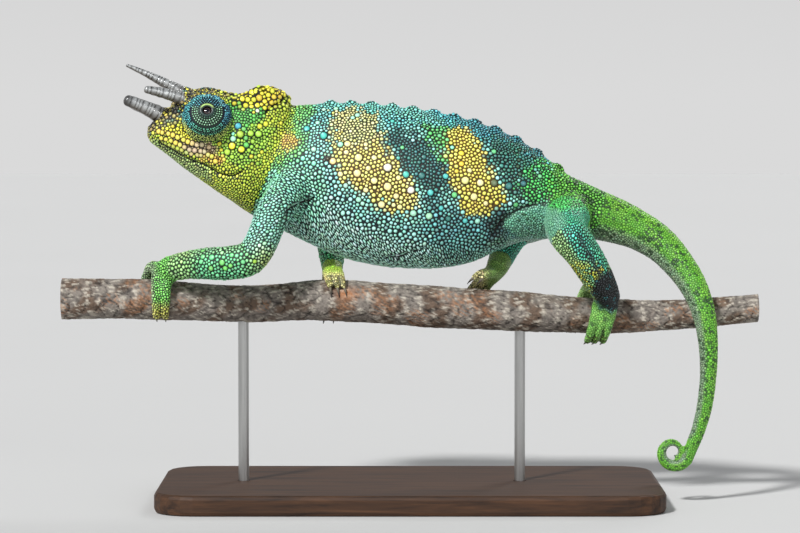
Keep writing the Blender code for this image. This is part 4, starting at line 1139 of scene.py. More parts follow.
def lay_arms(skin, lay):
    """Arms and hands, the left ones as the side view shows them."""
    x, y = side_view(skin.points).T
    near, hand, far_hand = skin.on("forearm_left"), skin.on("hand_left"), skin.on("hand_right")
    lay(skin.on("upper_arm"), (146, 220, 192), (14, 62, 54))
    lay(skin.on("forearm"), (104, 204, 140), (8, 52, 28))
    elbow = np.exp(-(((x - 266) / 16) ** 2 + ((y - 262) / 15) ** 2))
    lay(elbow * skin.on("forearm_left", "upper_arm_left") * 0.95, (190, 220, 124), (30, 76, 30))
    lay(near * soft_step(246, 262, x) * 0.5, (150, 216, 160), (12, 58, 46))
    lay(near * soft_step(0.35, 0.8, skin.normals[:, 2]) * 0.7, (150, 192, 142), (30, 70, 44))
    lay(near * soft_step(204, 184, x) * 0.7, (158, 200, 112), (34, 78, 36))
    lay(hand, (116, 200, 84), (24, 74, 22))
    front = soft_step(160, 152, x) * soft_step(0.2, 0.6, -skin.normals[:, 0])
    lay(hand * front, (140, 172, 122), (40, 66, 40))
    lay(hand * soft_step(298, 314, y), (216, 212, 100), (126, 124, 44))
    lay(skin.on("hand_left_inner") * 0.85, (146, 176, 128), (44, 66, 44))
    lay(far_hand, (170, 208, 66), (104, 134, 36))
    lay(far_hand * soft_step(268, 277, y), (230, 222, 150), (150, 138, 76))


def lay_legs(skin, lay):
    """Thighs, shanks with the ankle painted dark as shade, and feet."""
    seen = side_view(skin.points)
    x, y = seen.T
    rough, fine = ripple(skin.points, 5, 3), ripple(skin.points, 2.2, 4)
    thigh, shank = skin.on("thigh"), skin.on("shank_left")
    lay(thigh, (112, 176, 142), (56, 112, 88))
    lay(thigh * soft_step(0.0, -0.6, skin.normals[:, 2]), (186, 214, 200), (118, 158, 142))
    lay(thigh * soft_step(-3, 3, inside(seen, THIGH_TOP) + fine), (70, 190, 84), (8, 50, 22))
    lay(thigh * soft_step(556, 572, x) * soft_step(204, 214, y), (70, 186, 140), (14, 78, 58))
    lay(skin.on("shank"), (72, 196, 164), (4, 36, 32))
    front = soft_step(5, -3, (x - 566) - (y - 240) * 0.62)
    lay(shank * front * 0.85, (168, 204, 120), (56, 96, 48))
    dots = soft_step(256, 270, y) * soft_step(-0.2, 0.4, rough + fine)
    lay(shank * dots, (206, 212, 60), (20, 40, 12))
    lay(shank * hump(near_line(seen, SHANK_SEAM), 0, 2.2) * 0.9, (12, 54, 50), (2, 12, 14))
    rear = soft_step(-2, 4, (x - 590) - (y - 246) * 0.62) * soft_step(282, 268, y)
    lay(shank * rear * 0.7, (84, 178, 132), (20, 74, 50))
    # Painted shade: the ankle is drawn near black, with a few teal scales in it
    dark = inside(seen, ANKLE_SHADE) + 1.5 * fine
    ankle_shade = skin.on("shank_left", "foot_left") * soft_step(-3, 2, dark)
    lay(ankle_shade, (8, 26, 30), (2, 6, 8))
    lay(ankle_shade * soft_step(0.7, 0.95, fine + 0.4 * rough), (34, 112, 116), (4, 16, 18))
    foot = skin.on("foot_left") * soft_step(1, -3, dark)
    lay(foot, (126, 188, 84), (84, 138, 56))
    lay(foot * soft_step(0.35, 0.8, fine + 0.5 * rough) * 0.75, (40, 84, 30), (18, 44, 16))
    lay(skin.on("foot_left_inner") * 0.8, (162, 198, 118), (112, 150, 76))
    lay(skin.on("foot_right"), (136, 176, 88), (84, 116, 48))
    lay(skin.on("foot_right") * soft_step(492, 480, x), (224, 216, 156), (150, 140, 84))


def lay_toe_bars(skin, lay):
    """Dark bars across the toes."""
    for name, grip in GRIPS.items():
        where = skin.on(name)
        for path in toe_paths(grip):
            off = skin.points[where] - path[-1, :3]
            reach = off @ unit(path[-1, :3] - path[-3, :3])
            close = np.linalg.norm(off, axis=1) < TOE_BARS_REACH
            bar = soft_step(0.3, 0.8, np.sin((reach + 0.4) * 2 * math.pi / TOE_BAR_PITCH)) * close
            share = spread(where, bar * (reach < 0.6) * 0.75)
            lay(share, (90, 92, 40), (26, 28, 12))


def spread(where, values):
    """Values of the chosen points as one for every point, with nothing at the others."""
    full = np.zeros(len(where))
    full[where] = values
    return full


def lay_tail(skin, lay):
    """Green tail, grey below, with clouds, a teal root and dark flecks."""
    rows = tail_line()
    tree = point_tree(rows)
    where = skin.on("tail")
    points = skin.points[where]
    near = np.array([tree.find(p)[1] for p in points.tolist()])
    along = unit(np.gradient(rows[:, :3], axis=0))[near]
    outward = unit(np.stack([-along[:, 2], np.zeros(len(near)), along[:, 0]], 1))
    height = (unit(points - rows[near, :3]) * outward).sum(1)
    clouds = ripple(points, 9, 14)
    teal = soft_step(606, 584, skin.seen[where][:, 0]) * soft_step(0.3, -0.3, height)
    lay(where, (100, 174, 44), (64, 126, 28))
    for share, colour, between in (
        (soft_step(0.1, 0.9, clouds) * 0.5, (132, 192, 64), (84, 140, 38)),
        (soft_step(-0.2, -0.75, height) * 0.9, (132, 154, 128), (92, 112, 88)),
        (soft_step(0.6, 0.95, height) * 0.5, (142, 204, 74), (84, 150, 40)),
        (teal * 0.6, (56, 168, 110), (24, 104, 66)),
    ):
        lay(spread(where, share), colour, between)
    lay(skin.on("tail", "pelvis") * speckle(skin), (24, 62, 24), (8, 30, 10))


def speckle(skin):
    """Small dark flecks, thick in some places of the tail and few elsewhere."""
    thick = np.full(len(skin.points), 0.04)
    for x, y, radius in SPECKLES:
        away = ((skin.seen - (x, y)) ** 2).sum(1)
        thick = np.maximum(thick, np.exp(-away / radius**2))
    thick *= soft_step(540, 566, skin.seen[:, 0])
    flecks = ripple(skin.twin, 1.5, 12) + 0.7 * ripple(skin.twin, 0.9, 13)
    return soft_step(0.75, 1.05, flecks + 0.75 * thick) * 0.9


def lay_turrets(skin, scale, ground):
    """Rings and rays of colour round each eye."""
    for side in (-1, 1):
        centre, _, up, forward = turret_axes(side)
        radius, angle = round_eye(skin.points - centre, up, forward)
        mine = skin.on("eye_turret") & (np.sign(skin.points[:, 1]) == side) & ringed(radius, angle)
        skin.bare |= mine
        scale[mine], ground[mine] = turret_colours(radius[mine], angle[mine])


def round_eye(off, up, forward):
    """Distance of each place from a turret's axis, and its angle from up, forward first."""
    rise, ahead = off @ up, off @ forward
    return np.hypot(rise, ahead), np.arctan2(ahead, rise)


def ringed(radius, angle):
    """Which places on a turret carry its rings of scales: not those up behind the brow."""
    return (radius < 6.5) | (np.cos(angle) < 0.5)


def turret_colours(radius, angle):
    """Colours on an eye turret by distance from its axis and angle from up, forward first."""
    below, ahead = -np.cos(angle), np.sin(angle)
    streak = 0.5 + 0.5 * np.sin(angle * 31 + 2 * np.sin(angle * 7))
    patch = 0.5 + 0.5 * np.sin(angle * 11 + radius * 2.1) * np.sin(angle * 5 - radius * 3.3)
    lid = hump(radius, 5.1, 0.75)
    inner = soft_step(4.75, 4.4, radius) * soft_step(-0.6, -0.25, below)
    upper = soft_step(4.6, 4.2, radius) * soft_step(-0.25, -0.6, below)
    # Painted shade: the turret's creases are drawn dark on its scales
    crease = hump(radius, 4.75, 0.22) * soft_step(-0.5, 0.1, below)
    crease += hump(radius, 6.15, 0.16) * soft_step(0.3, 0.7, below)
    crease += hump(radius, 6.75, 0.14) * soft_step(0.2, 0.6, below)
    colour = layered(
        np.tile(light((56, 142, 160)), (len(radius), 1)),
        (patch * 0.75 * soft_step(0.6, -0.6, ahead), (20, 60, 124)),
        (soft_step(-0.2, 0.9, ahead) * 0.7, (72, 186, 186)),
        (soft_step(0.3, 0.95, below) * 0.75, (92, 176, 122)),
        (lid * soft_step(0.7, -0.2, below) * (0.25 + 0.75 * streak), (132, 228, 232)),
        (soft_step(6.4, 7.1, radius) * soft_step(0.2, -0.4, below), (30, 84, 110)),
        (inner, (146, 208, 160)),
        (upper * 0.8, (70, 160, 170)),
        (np.clip(crease, 0, 1) * 0.85, (8, 34, 34)),
        (soft_step(2.75, 2.3, radius), (36, 78, 62)),
        (soft_step(6.6, 6.95, radius) * soft_step(0.0, 0.5, below), (196, 220, 104)),
    )
    between = layered(
        np.tile(light((2, 12, 34)), (len(radius), 1)),
        (soft_step(0.2, 0.8, below), (4, 34, 26)),
        (inner, (2, 30, 20)),
    )
    return colour, between


# ---------------------------------------------------------------- the coat


def pick_disc(skin, x, y, where, right):
    """The skin's point that shows at a place on the side view."""
    facing = -skin.normals[:, 1] if not right else skin.normals[:, 1]
    away = np.hypot(*(skin.seen - (x, y)).T) + np.where(where & (facing > 0.1), 0, 1e6)
    best = away.argmin()
    return best if away[best] < 3 else None


def disc_roots(skin):
    """Places of the large scales: index of a skin point, radius, colour."""
    found = []
    groups = (
        (DISCS, skin.on("torso", "pelvis"), (False, True)),
        (HEAD_DISCS, skin.on("head", "jaw", "neck"), (False, True)),
        (ARM_DISCS, skin.on("forearm_left", "upper_arm_left"), (False,)),
        (lip_plates(), skin.on("head", "jaw"), (False, True)),
    )
    for discs, where, sides in groups:
        for x, y, radius, colour in discs:
            shade = light(DISC_COLOURS[colour]) if isinstance(colour, str) else colour
            for right in sides:
                place = pick_disc(skin, x, y, where, right)
                if place is not None:
                    found.append((place, radius * STEP, shade))
    return found


def lip_plates():
    """Rows of plates along both lips: x, y and radius on the side view, colour."""
    line = curve_rows(LIP_LINE, 8)
    run = run_along(line)
    found = []
    for offset, first, last, size, pink_from, greenish in LIP_ROWS:
        for at in np.arange(first, run[-1] - last, size * 2.25):
            x, y = (np.interp(at, run, line[:, i]) for i in (0, 1))
            bx, by = (np.interp(at + 1, run, line[:, i]) for i in (0, 1))
            if greenish and x > 205:
                continue
            pink = soft_step(*pink_from, x) * soft_step(214, 204, x)
            colour = layered(light((242, 222, 84)), (pink, (208, 188, 150)))
            if greenish:
                colour = layered(colour, (1 - pink * 0.6, (190, 206, 70)))
            found.append((x - (by - y) * offset, y + (bx - x) * offset, size, colour))
    return found


def lie_on(lie, normals):
    """Directions drawn flat onto the surface."""
    flat = lie - normals * (lie * normals).sum(1)[:, None]
    short = np.linalg.norm(flat, axis=1) < 0.05
    flat[short] = np.cross(normals[short], (0.0, 1.0, 0.0))
    return unit(flat)


def reach_round(lie, cross, along, over):
    """Outlines of scales from their reach along and across their lie, in SIDES directions."""
    return lie[:, None] * along[..., None] + cross[:, None] * over[..., None]


class Coat:
    """Roots of all scales, with their size, lie and colour."""

    def __init__(self, skin, scale_colours, ground_colours):
        self.skin = skin
        self.skin_points = point_tree(skin.points)
        self.scale_colours, self.ground_colours = scale_colours, ground_colours
        self.choose_roots()
        self.settle()
        self.take_values()

    def choose_roots(self):
        """Thins the skin's points until each scale has room, large scales first."""
        skin, points, normals = self.skin, self.skin.points, self.skin.normals
        rng = np.random.default_rng(7)
        vary = np.exp(0.17 * rng.normal(size=len(points))).clip(0.72, 1.45)
        spacing, length = skin.spacing * vary, skin.length
        lie = lie_on(skin.lie, normals)
        free = ~skin.bare & (skin.fold <= BARE)
        roots, sizes, colours = [], [], []

        def around(i, reach):
            found = self.skin_points.find_range(points[i].tolist(), reach)
            return np.array([j for _, j, _ in found], int)

        for i, radius, colour in disc_roots(skin):
            if free[i]:
                roots.append(i)
                sizes.append(radius * 2 / DISC_FILL)
                colours.append(colour)
                free[around(i, radius + DISC_ROOM * spacing[i])] = False
        self.pinned = len(roots)
        for i in rng.permutation(len(points)):
            if not free[i]:
                continue
            roots.append(i)
            sizes.append(spacing[i])
            reach = ELBOW_ROOM * spacing[i]
            near = around(i, reach * math.sqrt(length[i]))
            near = near[free[near]]
            off = points[near] - points[i]
            long = off @ lie[i]
            far2 = (off * off).sum(1)
            held = long**2 / length[i] + (far2 - long**2) * length[i]
            free[near[(held < reach**2) & (normals[near] @ normals[i] > FIRST_SIDE)]] = False
        self.root_index = np.array(roots)
        self.size = np.array(sizes)
        self.disc_colours = np.array(colours)
        self.vary = vary[self.root_index]
        self.points = points[self.root_index].copy()
        self.normals = normals[self.root_index].copy()

    def neighbours(self):
        """Numbers of the roots nearest to each root."""
        tree = point_tree(self.points)
        near = [tree.find_n(p, NEIGHBOURS + 1)[1:] for p in self.points.tolist()]
        return np.array([[j for _, j, _ in found] for found in near])

    def frames(self):
        """Each scale's lie, and the direction across it."""
        lie = lie_on(self.skin.lie[self.root_index], self.normals)
        return lie, np.cross(self.normals, lie)

    def offsets(self, near, lie, cross):
        """How far neighbours are along and across each scale, and which face its way."""
        off = self.points[near] - self.points[:, None]
        facing = (self.normals[near] * self.normals[:, None]).sum(-1) > SAME_SIDE
        return (off * lie[:, None]).sum(-1), (off * cross[:, None]).sum(-1), facing

    def settle(self):
        """Moves the roots apart until they are evenly spread, and keeps them on the skin."""
        passes = SETTLING
        for step in range(passes):
            if step % 3 == 0:
                near = self.neighbours()
            lie, cross = self.frames()
            stretch = np.sqrt(self.skin.length[self.root_index])[:, None]
            long, wide, facing = self.offsets(near, lie, cross)
            held = np.sqrt((long / stretch) ** 2 + (wide * stretch) ** 2) + 1e-6
            want = ROOM_WANTED * (self.size[:, None] + self.size[near])
            push = np.clip(1 - held / want, 0, PUSH_AT_MOST) * facing
            way = long[..., None] * lie[:, None] + wide[..., None] * cross[:, None]
            way = way / np.maximum(np.linalg.norm(way, axis=-1, keepdims=True), 1e-6)
            move = -(way * (push * want)[..., None]).sum(1) * MOVED_SHARE
            far = np.linalg.norm(move, axis=1, keepdims=True)
            move *= np.minimum(1, MOVE_AT_MOST * self.size[:, None] / np.maximum(far, 1e-9))
            move[: self.pinned] = 0
            points = self.points + move
            self.points = np.array([self.skin.tree.find_nearest(p)[0] for p in points.tolist()])
            self.follow_skin()

    def follow_skin(self):
        """Takes the skin's values from its nearest point."""
        self.root_index = np.array([self.skin_points.find(p)[1] for p in self.points.tolist()])
        self.normals = self.skin.normals[self.root_index]
        size = self.skin.spacing[self.root_index] * self.vary
        self.size[self.pinned :] = size[self.pinned :]

    def take_values(self):
        """Colour, height, fill and painted highlight of each scale, each a little uneven."""
        rng = np.random.default_rng(11)
        skin, index, discs = self.skin, self.root_index, slice(self.pinned)
        count = len(index)
        smooth = skin.smooth[index][:, None]
        tone = (0.2 - 0.1 * smooth) * rng.normal(size=(count, 1)).clip(-2, 2)
        tone = np.exp(tone) * self.vary[:, None] ** (0.8 - 0.5 * smooth)
        tint = 1 + 0.06 * rng.normal(size=(count, 3)).clip(-2, 2)
        colour = self.scale_colours[index] * tone * tint
        colour[discs] = self.disc_colours * tint[discs]
        self.colour = np.clip(colour, 0, 1)
        self.ground = self.ground_colours[index]
        uneven = 1 + 0.15 * rng.normal(size=count).clip(-1.5, 1.5)
        self.high = skin.height[index] * self.size * uneven
        self.high[discs] = 0.15 * self.size[discs]
        self.fill = skin.fill[index] * (1 + 0.05 * rng.normal(size=count).clip(-2, 2))
        self.fill[discs] = 0.94
        # How much each scale's top is painted lighter as a highlight, less on smooth parts
        self.painted_highlight = 1 - 0.75 * smooth
        self.part = skin.part[index]

    def outlines(self):
        """Each scale's outline round its root, with room left for its neighbours."""
        near = self.neighbours()
        lie, cross = self.frames()
        stretch = np.sqrt(self.skin.length[self.root_index])
        stretch[: self.pinned] = 1
        stretch = stretch[:, None]
        long, wide, facing = self.offsets(near, lie, cross)
        long, wide = long / stretch, wide * stretch
        held = np.hypot(long, wide) + 1e-6
        share = self.size[:, None] / (self.size[:, None] + self.size[near])
        bound = np.where(facing, held * share, UNBOUNDED)
        toward = (long[..., None] * ROUND_COS + wide[..., None] * ROUND_SIN) / held[..., None]
        reach = bound[..., None] / np.maximum(toward, 0.2)
        reach = np.where(toward > 0.2, reach, UNBOUNDED).min(1)
        reach = np.minimum(reach, REACH_AT_MOST * self.size[:, None])
        mean = reach.mean(1, keepdims=True)
        rounder = (1 - OWN_CORNERS) * np.minimum(mean, reach * 1.12)
        reach = (OWN_CORNERS * reach + rounder) * self.fill[:, None]
        return reach_round(lie, cross, ROUND_COS * reach * stretch, ROUND_SIN * reach / stretch)

    def build(self, unwrap, material):
        """The meshes of all scales, each with the slot it belongs to."""
        flat = self.outlines()
        pieces = {}
        for number, name in enumerate(FLESH):
            home = next(v for k, v in COAT_PIECES.items() if name.startswith(k))
            pieces.setdefault(home, []).append(number)
        values = (self.points, self.normals, flat, self.high, self.colour, self.ground,
                  self.painted_highlight, unwrap.places(self.points))
        left = self.points[:, 1] < 0
        made = []
        for (name, slot), parts in pieces.items():
            chosen = np.isin(self.part, parts)
            sides = {"": chosen}
            if name in ("scales_shoulder", "scales_flank"):
                sides = {"_left": chosen & left, "_right": chosen & ~left}
            for ending, mask in sides.items():
                if mask.any():
                    piece = scale_mesh(name + ending, material, *(v[mask] for v in values))
                    made.append((piece, slot))
        return made


def scale_mesh(name, material, roots, normals, flat, high, colour, ground, painted_highlight, places):
    """One mesh of scales: low domes whose foot is sunk in the skin, painted darker down their sides
    as shade and lighter on top as a highlight.
    """
    root, normal, high = roots[:, None], normals[:, None], high[:, None, None]
    radius = np.linalg.norm(flat, axis=2).mean(1)[:, None, None]
    levels = [(1.0, -(FOOT_SUNK + FOOT_SLOPE * radius), 0.0)]
    levels += [(size, rise * high, share) for size, rise, share in (WALL, SHOULDER)]
    rings = [root + flat * size + normal * rise for size, rise, _ in levels]
    points = np.concatenate([*rings, root + normal * high], axis=1)
    count, per = points.shape[:2]
    colour, ground = colour[:, None], ground[:, None]
    shades = np.empty((count, per, 3))
    # Painted shade: the rings below the top blend from the scale's colour towards the darker skin
    # between scales
    for level, (_, _, share) in enumerate(levels):
        shades[:, level * SIDES : (level + 1) * SIDES] = ground + (colour - ground) * share
    # Painted highlight: the top point of each scale is lighter than its colour
    shades[:, -1] = np.clip(colour[:, 0] * (1 + 0.28 * painted_highlight) + 0.1 * painted_highlight, 0, 1)
    start = np.arange(count)[:, None, None] * per
    index = np.arange(3 * SIDES).reshape(3, SIDES)
    quads = ring_quads(index[:-1], index[1:])
    tris = np.stack([index[2], np.roll(index[2], -1), np.full(SIDES, per - 1)], 1)
    circle = np.stack([ROUND_COS, ROUND_SIN], 1)
    spots = np.concatenate([circle, circle * 0.9, circle * 0.7, [[0, 0]]]) * PATCH
    faces = [(quads + start).reshape(-1, 4), (tris + start).reshape(-1, 3)]
    return mesh_object(name, points.reshape(-1, 3), faces, material, shades.reshape(-1, 3),
                       (places[:, None] + spots).reshape(-1, 2))


class Unwrap:
    """The skin's own shape laid flat, to give each scale its place on it."""

    def __init__(self, skin):
        proxy = mesh_object("unwrap", skin.points, [skin.faces], plain_material("flesh"))
        thinned(proxy, UNWRAP_TRIANGLES / len(skin.faces))
        bpy.context.view_layer.objects.active = proxy
        proxy.select_set(True)
        bpy.ops.object.mode_set(mode="EDIT")
        bpy.ops.mesh.select_all(action="SELECT")
        bpy.ops.uv.smart_project(angle_limit=math.radians(60), island_margin=0.004)
        bpy.ops.object.mode_set(mode="OBJECT")
        mesh = proxy.data
        self.corners, _ = mesh_arrays(mesh)
        loops = np.empty(len(mesh.loops) * 2, np.float32)
        mesh.uv_layers.active.uv.foreach_get("vector", loops)
        loops = loops.reshape(-1, 2)
        self.faces = np.array([p.vertices[:3] for p in mesh.polygons])
        starts = np.array([p.loop_start for p in mesh.polygons])
        self.spots = loops[starts[:, None] + np.arange(3)]
        self.tree = face_tree(self.corners, self.faces)
        bpy.data.objects.remove(proxy, do_unlink=True)

    def places(self, points):
        """Where points of the skin lie on the unwrap."""
        found = [self.tree.find_nearest(p) for p in points.tolist()]
        near = np.array([f[0] for f in found])
        face = np.array([f[2] for f in found])
        a, b, c = (self.corners[self.faces[face, i]] for i in range(3))
        v0, v1, v2 = b - a, c - a, near - a
        d00, d01, d11 = (v0 * v0).sum(1), (v0 * v1).sum(1), (v1 * v1).sum(1)
        d20, d21 = (v2 * v0).sum(1), (v2 * v1).sum(1)
        under = np.maximum(d00 * d11 - d01 * d01, 1e-12)
        v = (d11 * d20 - d01 * d21) / under
        w = (d00 * d21 - d01 * d20) / under
        weights = np.stack([1 - v - w, v, w], 1)[..., None]
        return (self.spots[face] * weights).sum(1)


def turret_scales(side, rng):
    """Rings of small scales round one eye: roots, normals, lie, sizes, colours, ground."""
    centre, gaze, up, forward = turret_axes(side)
    profile = curve_rows(TURRET, 12)
    run = run_along(profile)
    roots, normals, lies, sizes = [], [], [], []
    at, ring = 0.25, 0
    while at < run[-1]:
        radius, height = (np.interp(at, run, profile[:, i]) for i in (0, 1))
        ahead = [np.interp(at + 0.1, run, profile[:, i]) - v for i, v in ((0, radius), (1, height))]
        even = radius < LID_BEADS_END
        size = LID_BEAD if even else OUTER_BEAD
        count = max(12, round(2 * math.pi * radius / size))
        slope = unit(np.array(ahead))
        for i in range(count):
            uneven = 0.0 if even else 0.2 * rng.normal()
            angle = 2 * math.pi * (i + 0.5 * (ring % 2) + uneven) / count
            radial = math.cos(angle) * up + math.sin(angle) * forward
            normals.append(radial * -slope[1] + gaze * slope[0])
            roots.append(centre + radial * radius + gaze * height)
            lies.append(radial * slope[0] + gaze * slope[1])
            sizes.append(size * (0.78 if even else rng.uniform(0.85, 1.15)))
        at += size * 0.98
        ring += 1
    roots, normals, lies = np.array(roots), unit(np.array(normals)), unit(np.array(lies))
    radius, angle = round_eye(roots - centre, up, forward)
    colour, ground = turret_colours(radius, angle)
    start, end = LID_CREASE
    crease = (radius > start) & (radius < end) & (np.cos(angle) < 0.3)
    kept = ringed(radius, angle) & ~crease
    return [v[kept] for v in (roots, normals, lies, np.array(sizes), colour, ground)]


def eye_coat(material, unwrap):
    """The rings of small scales on both turrets."""
    rng = np.random.default_rng(17)
    gathered = [turret_scales(side, rng) for side in (-1, 1)]
    roots, normals, lies, sizes, colour, ground = (np.concatenate(v) for v in zip(*gathered))
    tone = np.exp(0.42 * rng.normal(size=(len(roots), 1)).clip(-2, 1.6))
    points = roots - normals * 0.02
    reach = (sizes * 0.39)[:, None]
    flat = reach_round(lies, np.cross(normals, lies), ROUND_COS * reach * 1.05,
                       ROUND_SIN * reach * 0.95)
    return scale_mesh("scales_eyes", material, points, normals, flat, sizes * 0.3,
                      np.clip(colour * tone, 0, 1), ground, np.ones((len(roots), 1)),
                      unwrap.places(points))


# ---------------------------------------------------------------- finishes


def plain_material(name):
    made = bpy.data.materials.get(name) or bpy.data.materials.new(name)
    made.use_nodes = True
    return made


def new_group(name, inputs, outputs):
    group = bpy.data.node_groups.new(name, "ShaderNodeTree")
    for label, kind, value in inputs:
        socket = group.interface.new_socket(label, in_out="INPUT", socket_type=kind)
        socket.default_value = value
    for label, kind in outputs:
        group.interface.new_socket(label, in_out="OUTPUT", socket_type=kind)
    return group, group.nodes.new("NodeGroupInput"), group.nodes.new("NodeGroupOutput")


def fill(tree, node, **inputs):
    """Gives a node's inputs their values, or links them to the outputs of other nodes."""
    for key, value in inputs.items():
        socket = node.inputs[int(key[1:]) if key[1:].isdigit() else key.replace("_", " ")]
        if isinstance(value, bpy.types.NodeSocket):
            tree.links.new(value, socket)
        else:
            socket.default_value = value


def add(tree, kind, settings=None, **inputs):
    """A new node with its settings and inputs; i0 and i1 are inputs by their number."""
    node = tree.nodes.new(kind)
    for key, value in (settings or {}).items():
        setattr(node, key, value)
    fill(tree, node, **inputs)
    return node


def worked_out(tree, operation, a, b):
    return add(tree, "ShaderNodeMath", {"operation": operation}, i0=a, i1=b).outputs[0]


def mottling_group():
    """Uneven colour: lighter and darker clouds of a given size."""
    group, start, end = new_group(
        "mottling",
        [("Colour", "NodeSocketColor", (1, 1, 1, 1)), ("Size", "NodeSocketFloat", 400.0),
         ("Amount", "NodeSocketFloat", 0.2)],
        [("Colour", "NodeSocketColor"), ("Cloud", "NodeSocketFloat")],
    )
    place = add(group, "ShaderNodeTexCoord")
    noise = add(group, "ShaderNodeTexNoise", Vector=place.outputs["Object"],
                Scale=start.outputs["Size"], Detail=3.0, Roughness=0.6)
    centred = worked_out(group, "SUBTRACT", noise.outputs["Fac"], 0.5)
    scaled = worked_out(group, "MULTIPLY", centred, start.outputs["Amount"])
    tone = add(group, "ShaderNodeHueSaturation", Value=worked_out(group, "ADD", scaled, 1.0),
               Color=start.outputs["Colour"])
    fill(group, end, Colour=tone.outputs["Color"], Cloud=noise.outputs["Fac"])
    return group


def grain_group():
    """Fine bumps: small cells with soft noise over them."""
    group, start, end = new_group(
        "grain",
        [("Cells", "NodeSocketFloat", 2500.0), ("Noise", "NodeSocketFloat", 1500.0)],
        [("Height", "NodeSocketFloat")],
    )
    place = add(group, "ShaderNodeTexCoord").outputs["Object"]
    cells = add(group, "ShaderNodeTexVoronoi", {"feature": "F1"}, Vector=place,
                Scale=start.outputs["Cells"])
    noise = add(group, "ShaderNodeTexNoise", Vector=place, Scale=start.outputs["Noise"],
                Detail=4.0)
    height = worked_out(group, "SUBTRACT", noise.outputs["Fac"], cells.outputs["Distance"])
    fill(group, end, Height=height)
    return group


GROUPS = {}


def group_node(tree, name, **values):
    """A node group placed in a material, built the first time it is asked for."""
    if name not in GROUPS:
        GROUPS[name] = {"mottling": mottling_group, "grain": grain_group}[name]()
    return add(tree, "ShaderNodeGroup", {"node_tree": GROUPS[name]}, **values)


def bump_from(tree, height, strength, distance):
    """A normal that follows small heights."""
    raised = add(tree, "ShaderNodeBump", Strength=strength, Distance=distance, Height=height)
    return raised.outputs["Normal"]


def finish_material(name, colour=None, roughness=0.5, metallic=0.0, coat=0.0, coat_roughness=0.3,
                    mottle=(400.0, 0.2), grain=(2500.0, 1500.0), bump=0.1, depth=0.0001,
                    roughness_spread=0.1):
    """A finish whose colour is the piece's own markings, or one colour, made uneven."""
    made = plain_material(name)
    tree = made.node_tree
    shader = tree.nodes["Principled BSDF"]
    if colour is None:
        own = add(tree, "ShaderNodeAttribute", {"attribute_name": "Markings"}).outputs["Color"]
    else:
        own = (*light(colour), 1)
    mottled = group_node(tree, "mottling", Colour=own, Size=mottle[0], Amount=mottle[1])
    rough = add(tree, "ShaderNodeMapRange", i0=mottled.outputs["Cloud"],
                i3=roughness - roughness_spread, i4=roughness + roughness_spread)
    fill(tree, shader, Base_Color=mottled.outputs["Colour"], Roughness=rough.outputs[0],
         Metallic=metallic, Coat_Weight=coat, Coat_Roughness=coat_roughness)
    if bump:
        grained = group_node(tree, "grain", Cells=grain[0], Noise=grain[1])
        fill(tree, shader, Normal=bump_from(tree, grained.outputs["Height"], bump, depth))
    return made


def drawn_out(tree, stretch, **noise):
    """Noise drawn out into long lines."""
    place = add(tree, "ShaderNodeTexCoord")
    longer = add(tree, "ShaderNodeMapping", Vector=place.outputs["Object"], Scale=stretch)
    lines = add(tree, "ShaderNodeTexNoise", Vector=longer.outputs["Vector"], **noise)
    return lines.outputs["Fac"]


def colour_ramp(tree, value, *stops):
    """Colours over a value: each stop is a position and a colour."""
    ramp = add(tree, "ShaderNodeValToRGB", Fac=value)
    for element, (position, colour) in zip(ramp.color_ramp.elements, stops):
        element.position = position
        element.color = (*colour, 1)
    return ramp.outputs["Color"]


def wood_material():
    """Dark oiled wood with long grain for the stand's base."""
    made = plain_material("dark oiled wood")
    tree = made.node_tree
    grain = drawn_out(tree, (6, 90, 90), Scale=6.0, Detail=8.0, Roughness=0.65, Distortion=0.6)
    colour = colour_ramp(tree, grain, (0.32, light((34, 22, 15))), (0.7, light((84, 56, 36))))
    fill(tree, tree.nodes["Principled BSDF"], Base_Color=colour, Roughness=0.6,
         Normal=bump_from(tree, grain, 0.12, 0.0002), Specular_IOR_Level=0.3)
    return made


def steel_material():
    """Brushed steel for the stand's rods."""
    made = plain_material("brushed steel")
    tree = made.node_tree
    lines = drawn_out(tree, (1500, 1500, 40), Scale=1.0, Detail=4.0)
    rough = add(tree, "ShaderNodeMapRange", i0=lines, i3=0.24, i4=0.42)
    tone = add(tree, "ShaderNodeMix", {"data_type": "RGBA"}, i0=lines,
               i6=(*light((150, 150, 150)), 1), i7=(*light((196, 196, 194)), 1))
    fill(tree, tree.nodes["Principled BSDF"], Base_Color=tone.outputs[2],
         Roughness=rough.outputs[0], Metallic=1.0)
    return made


# ---------------------------------------------------------------- horns, claws, eyes, branch


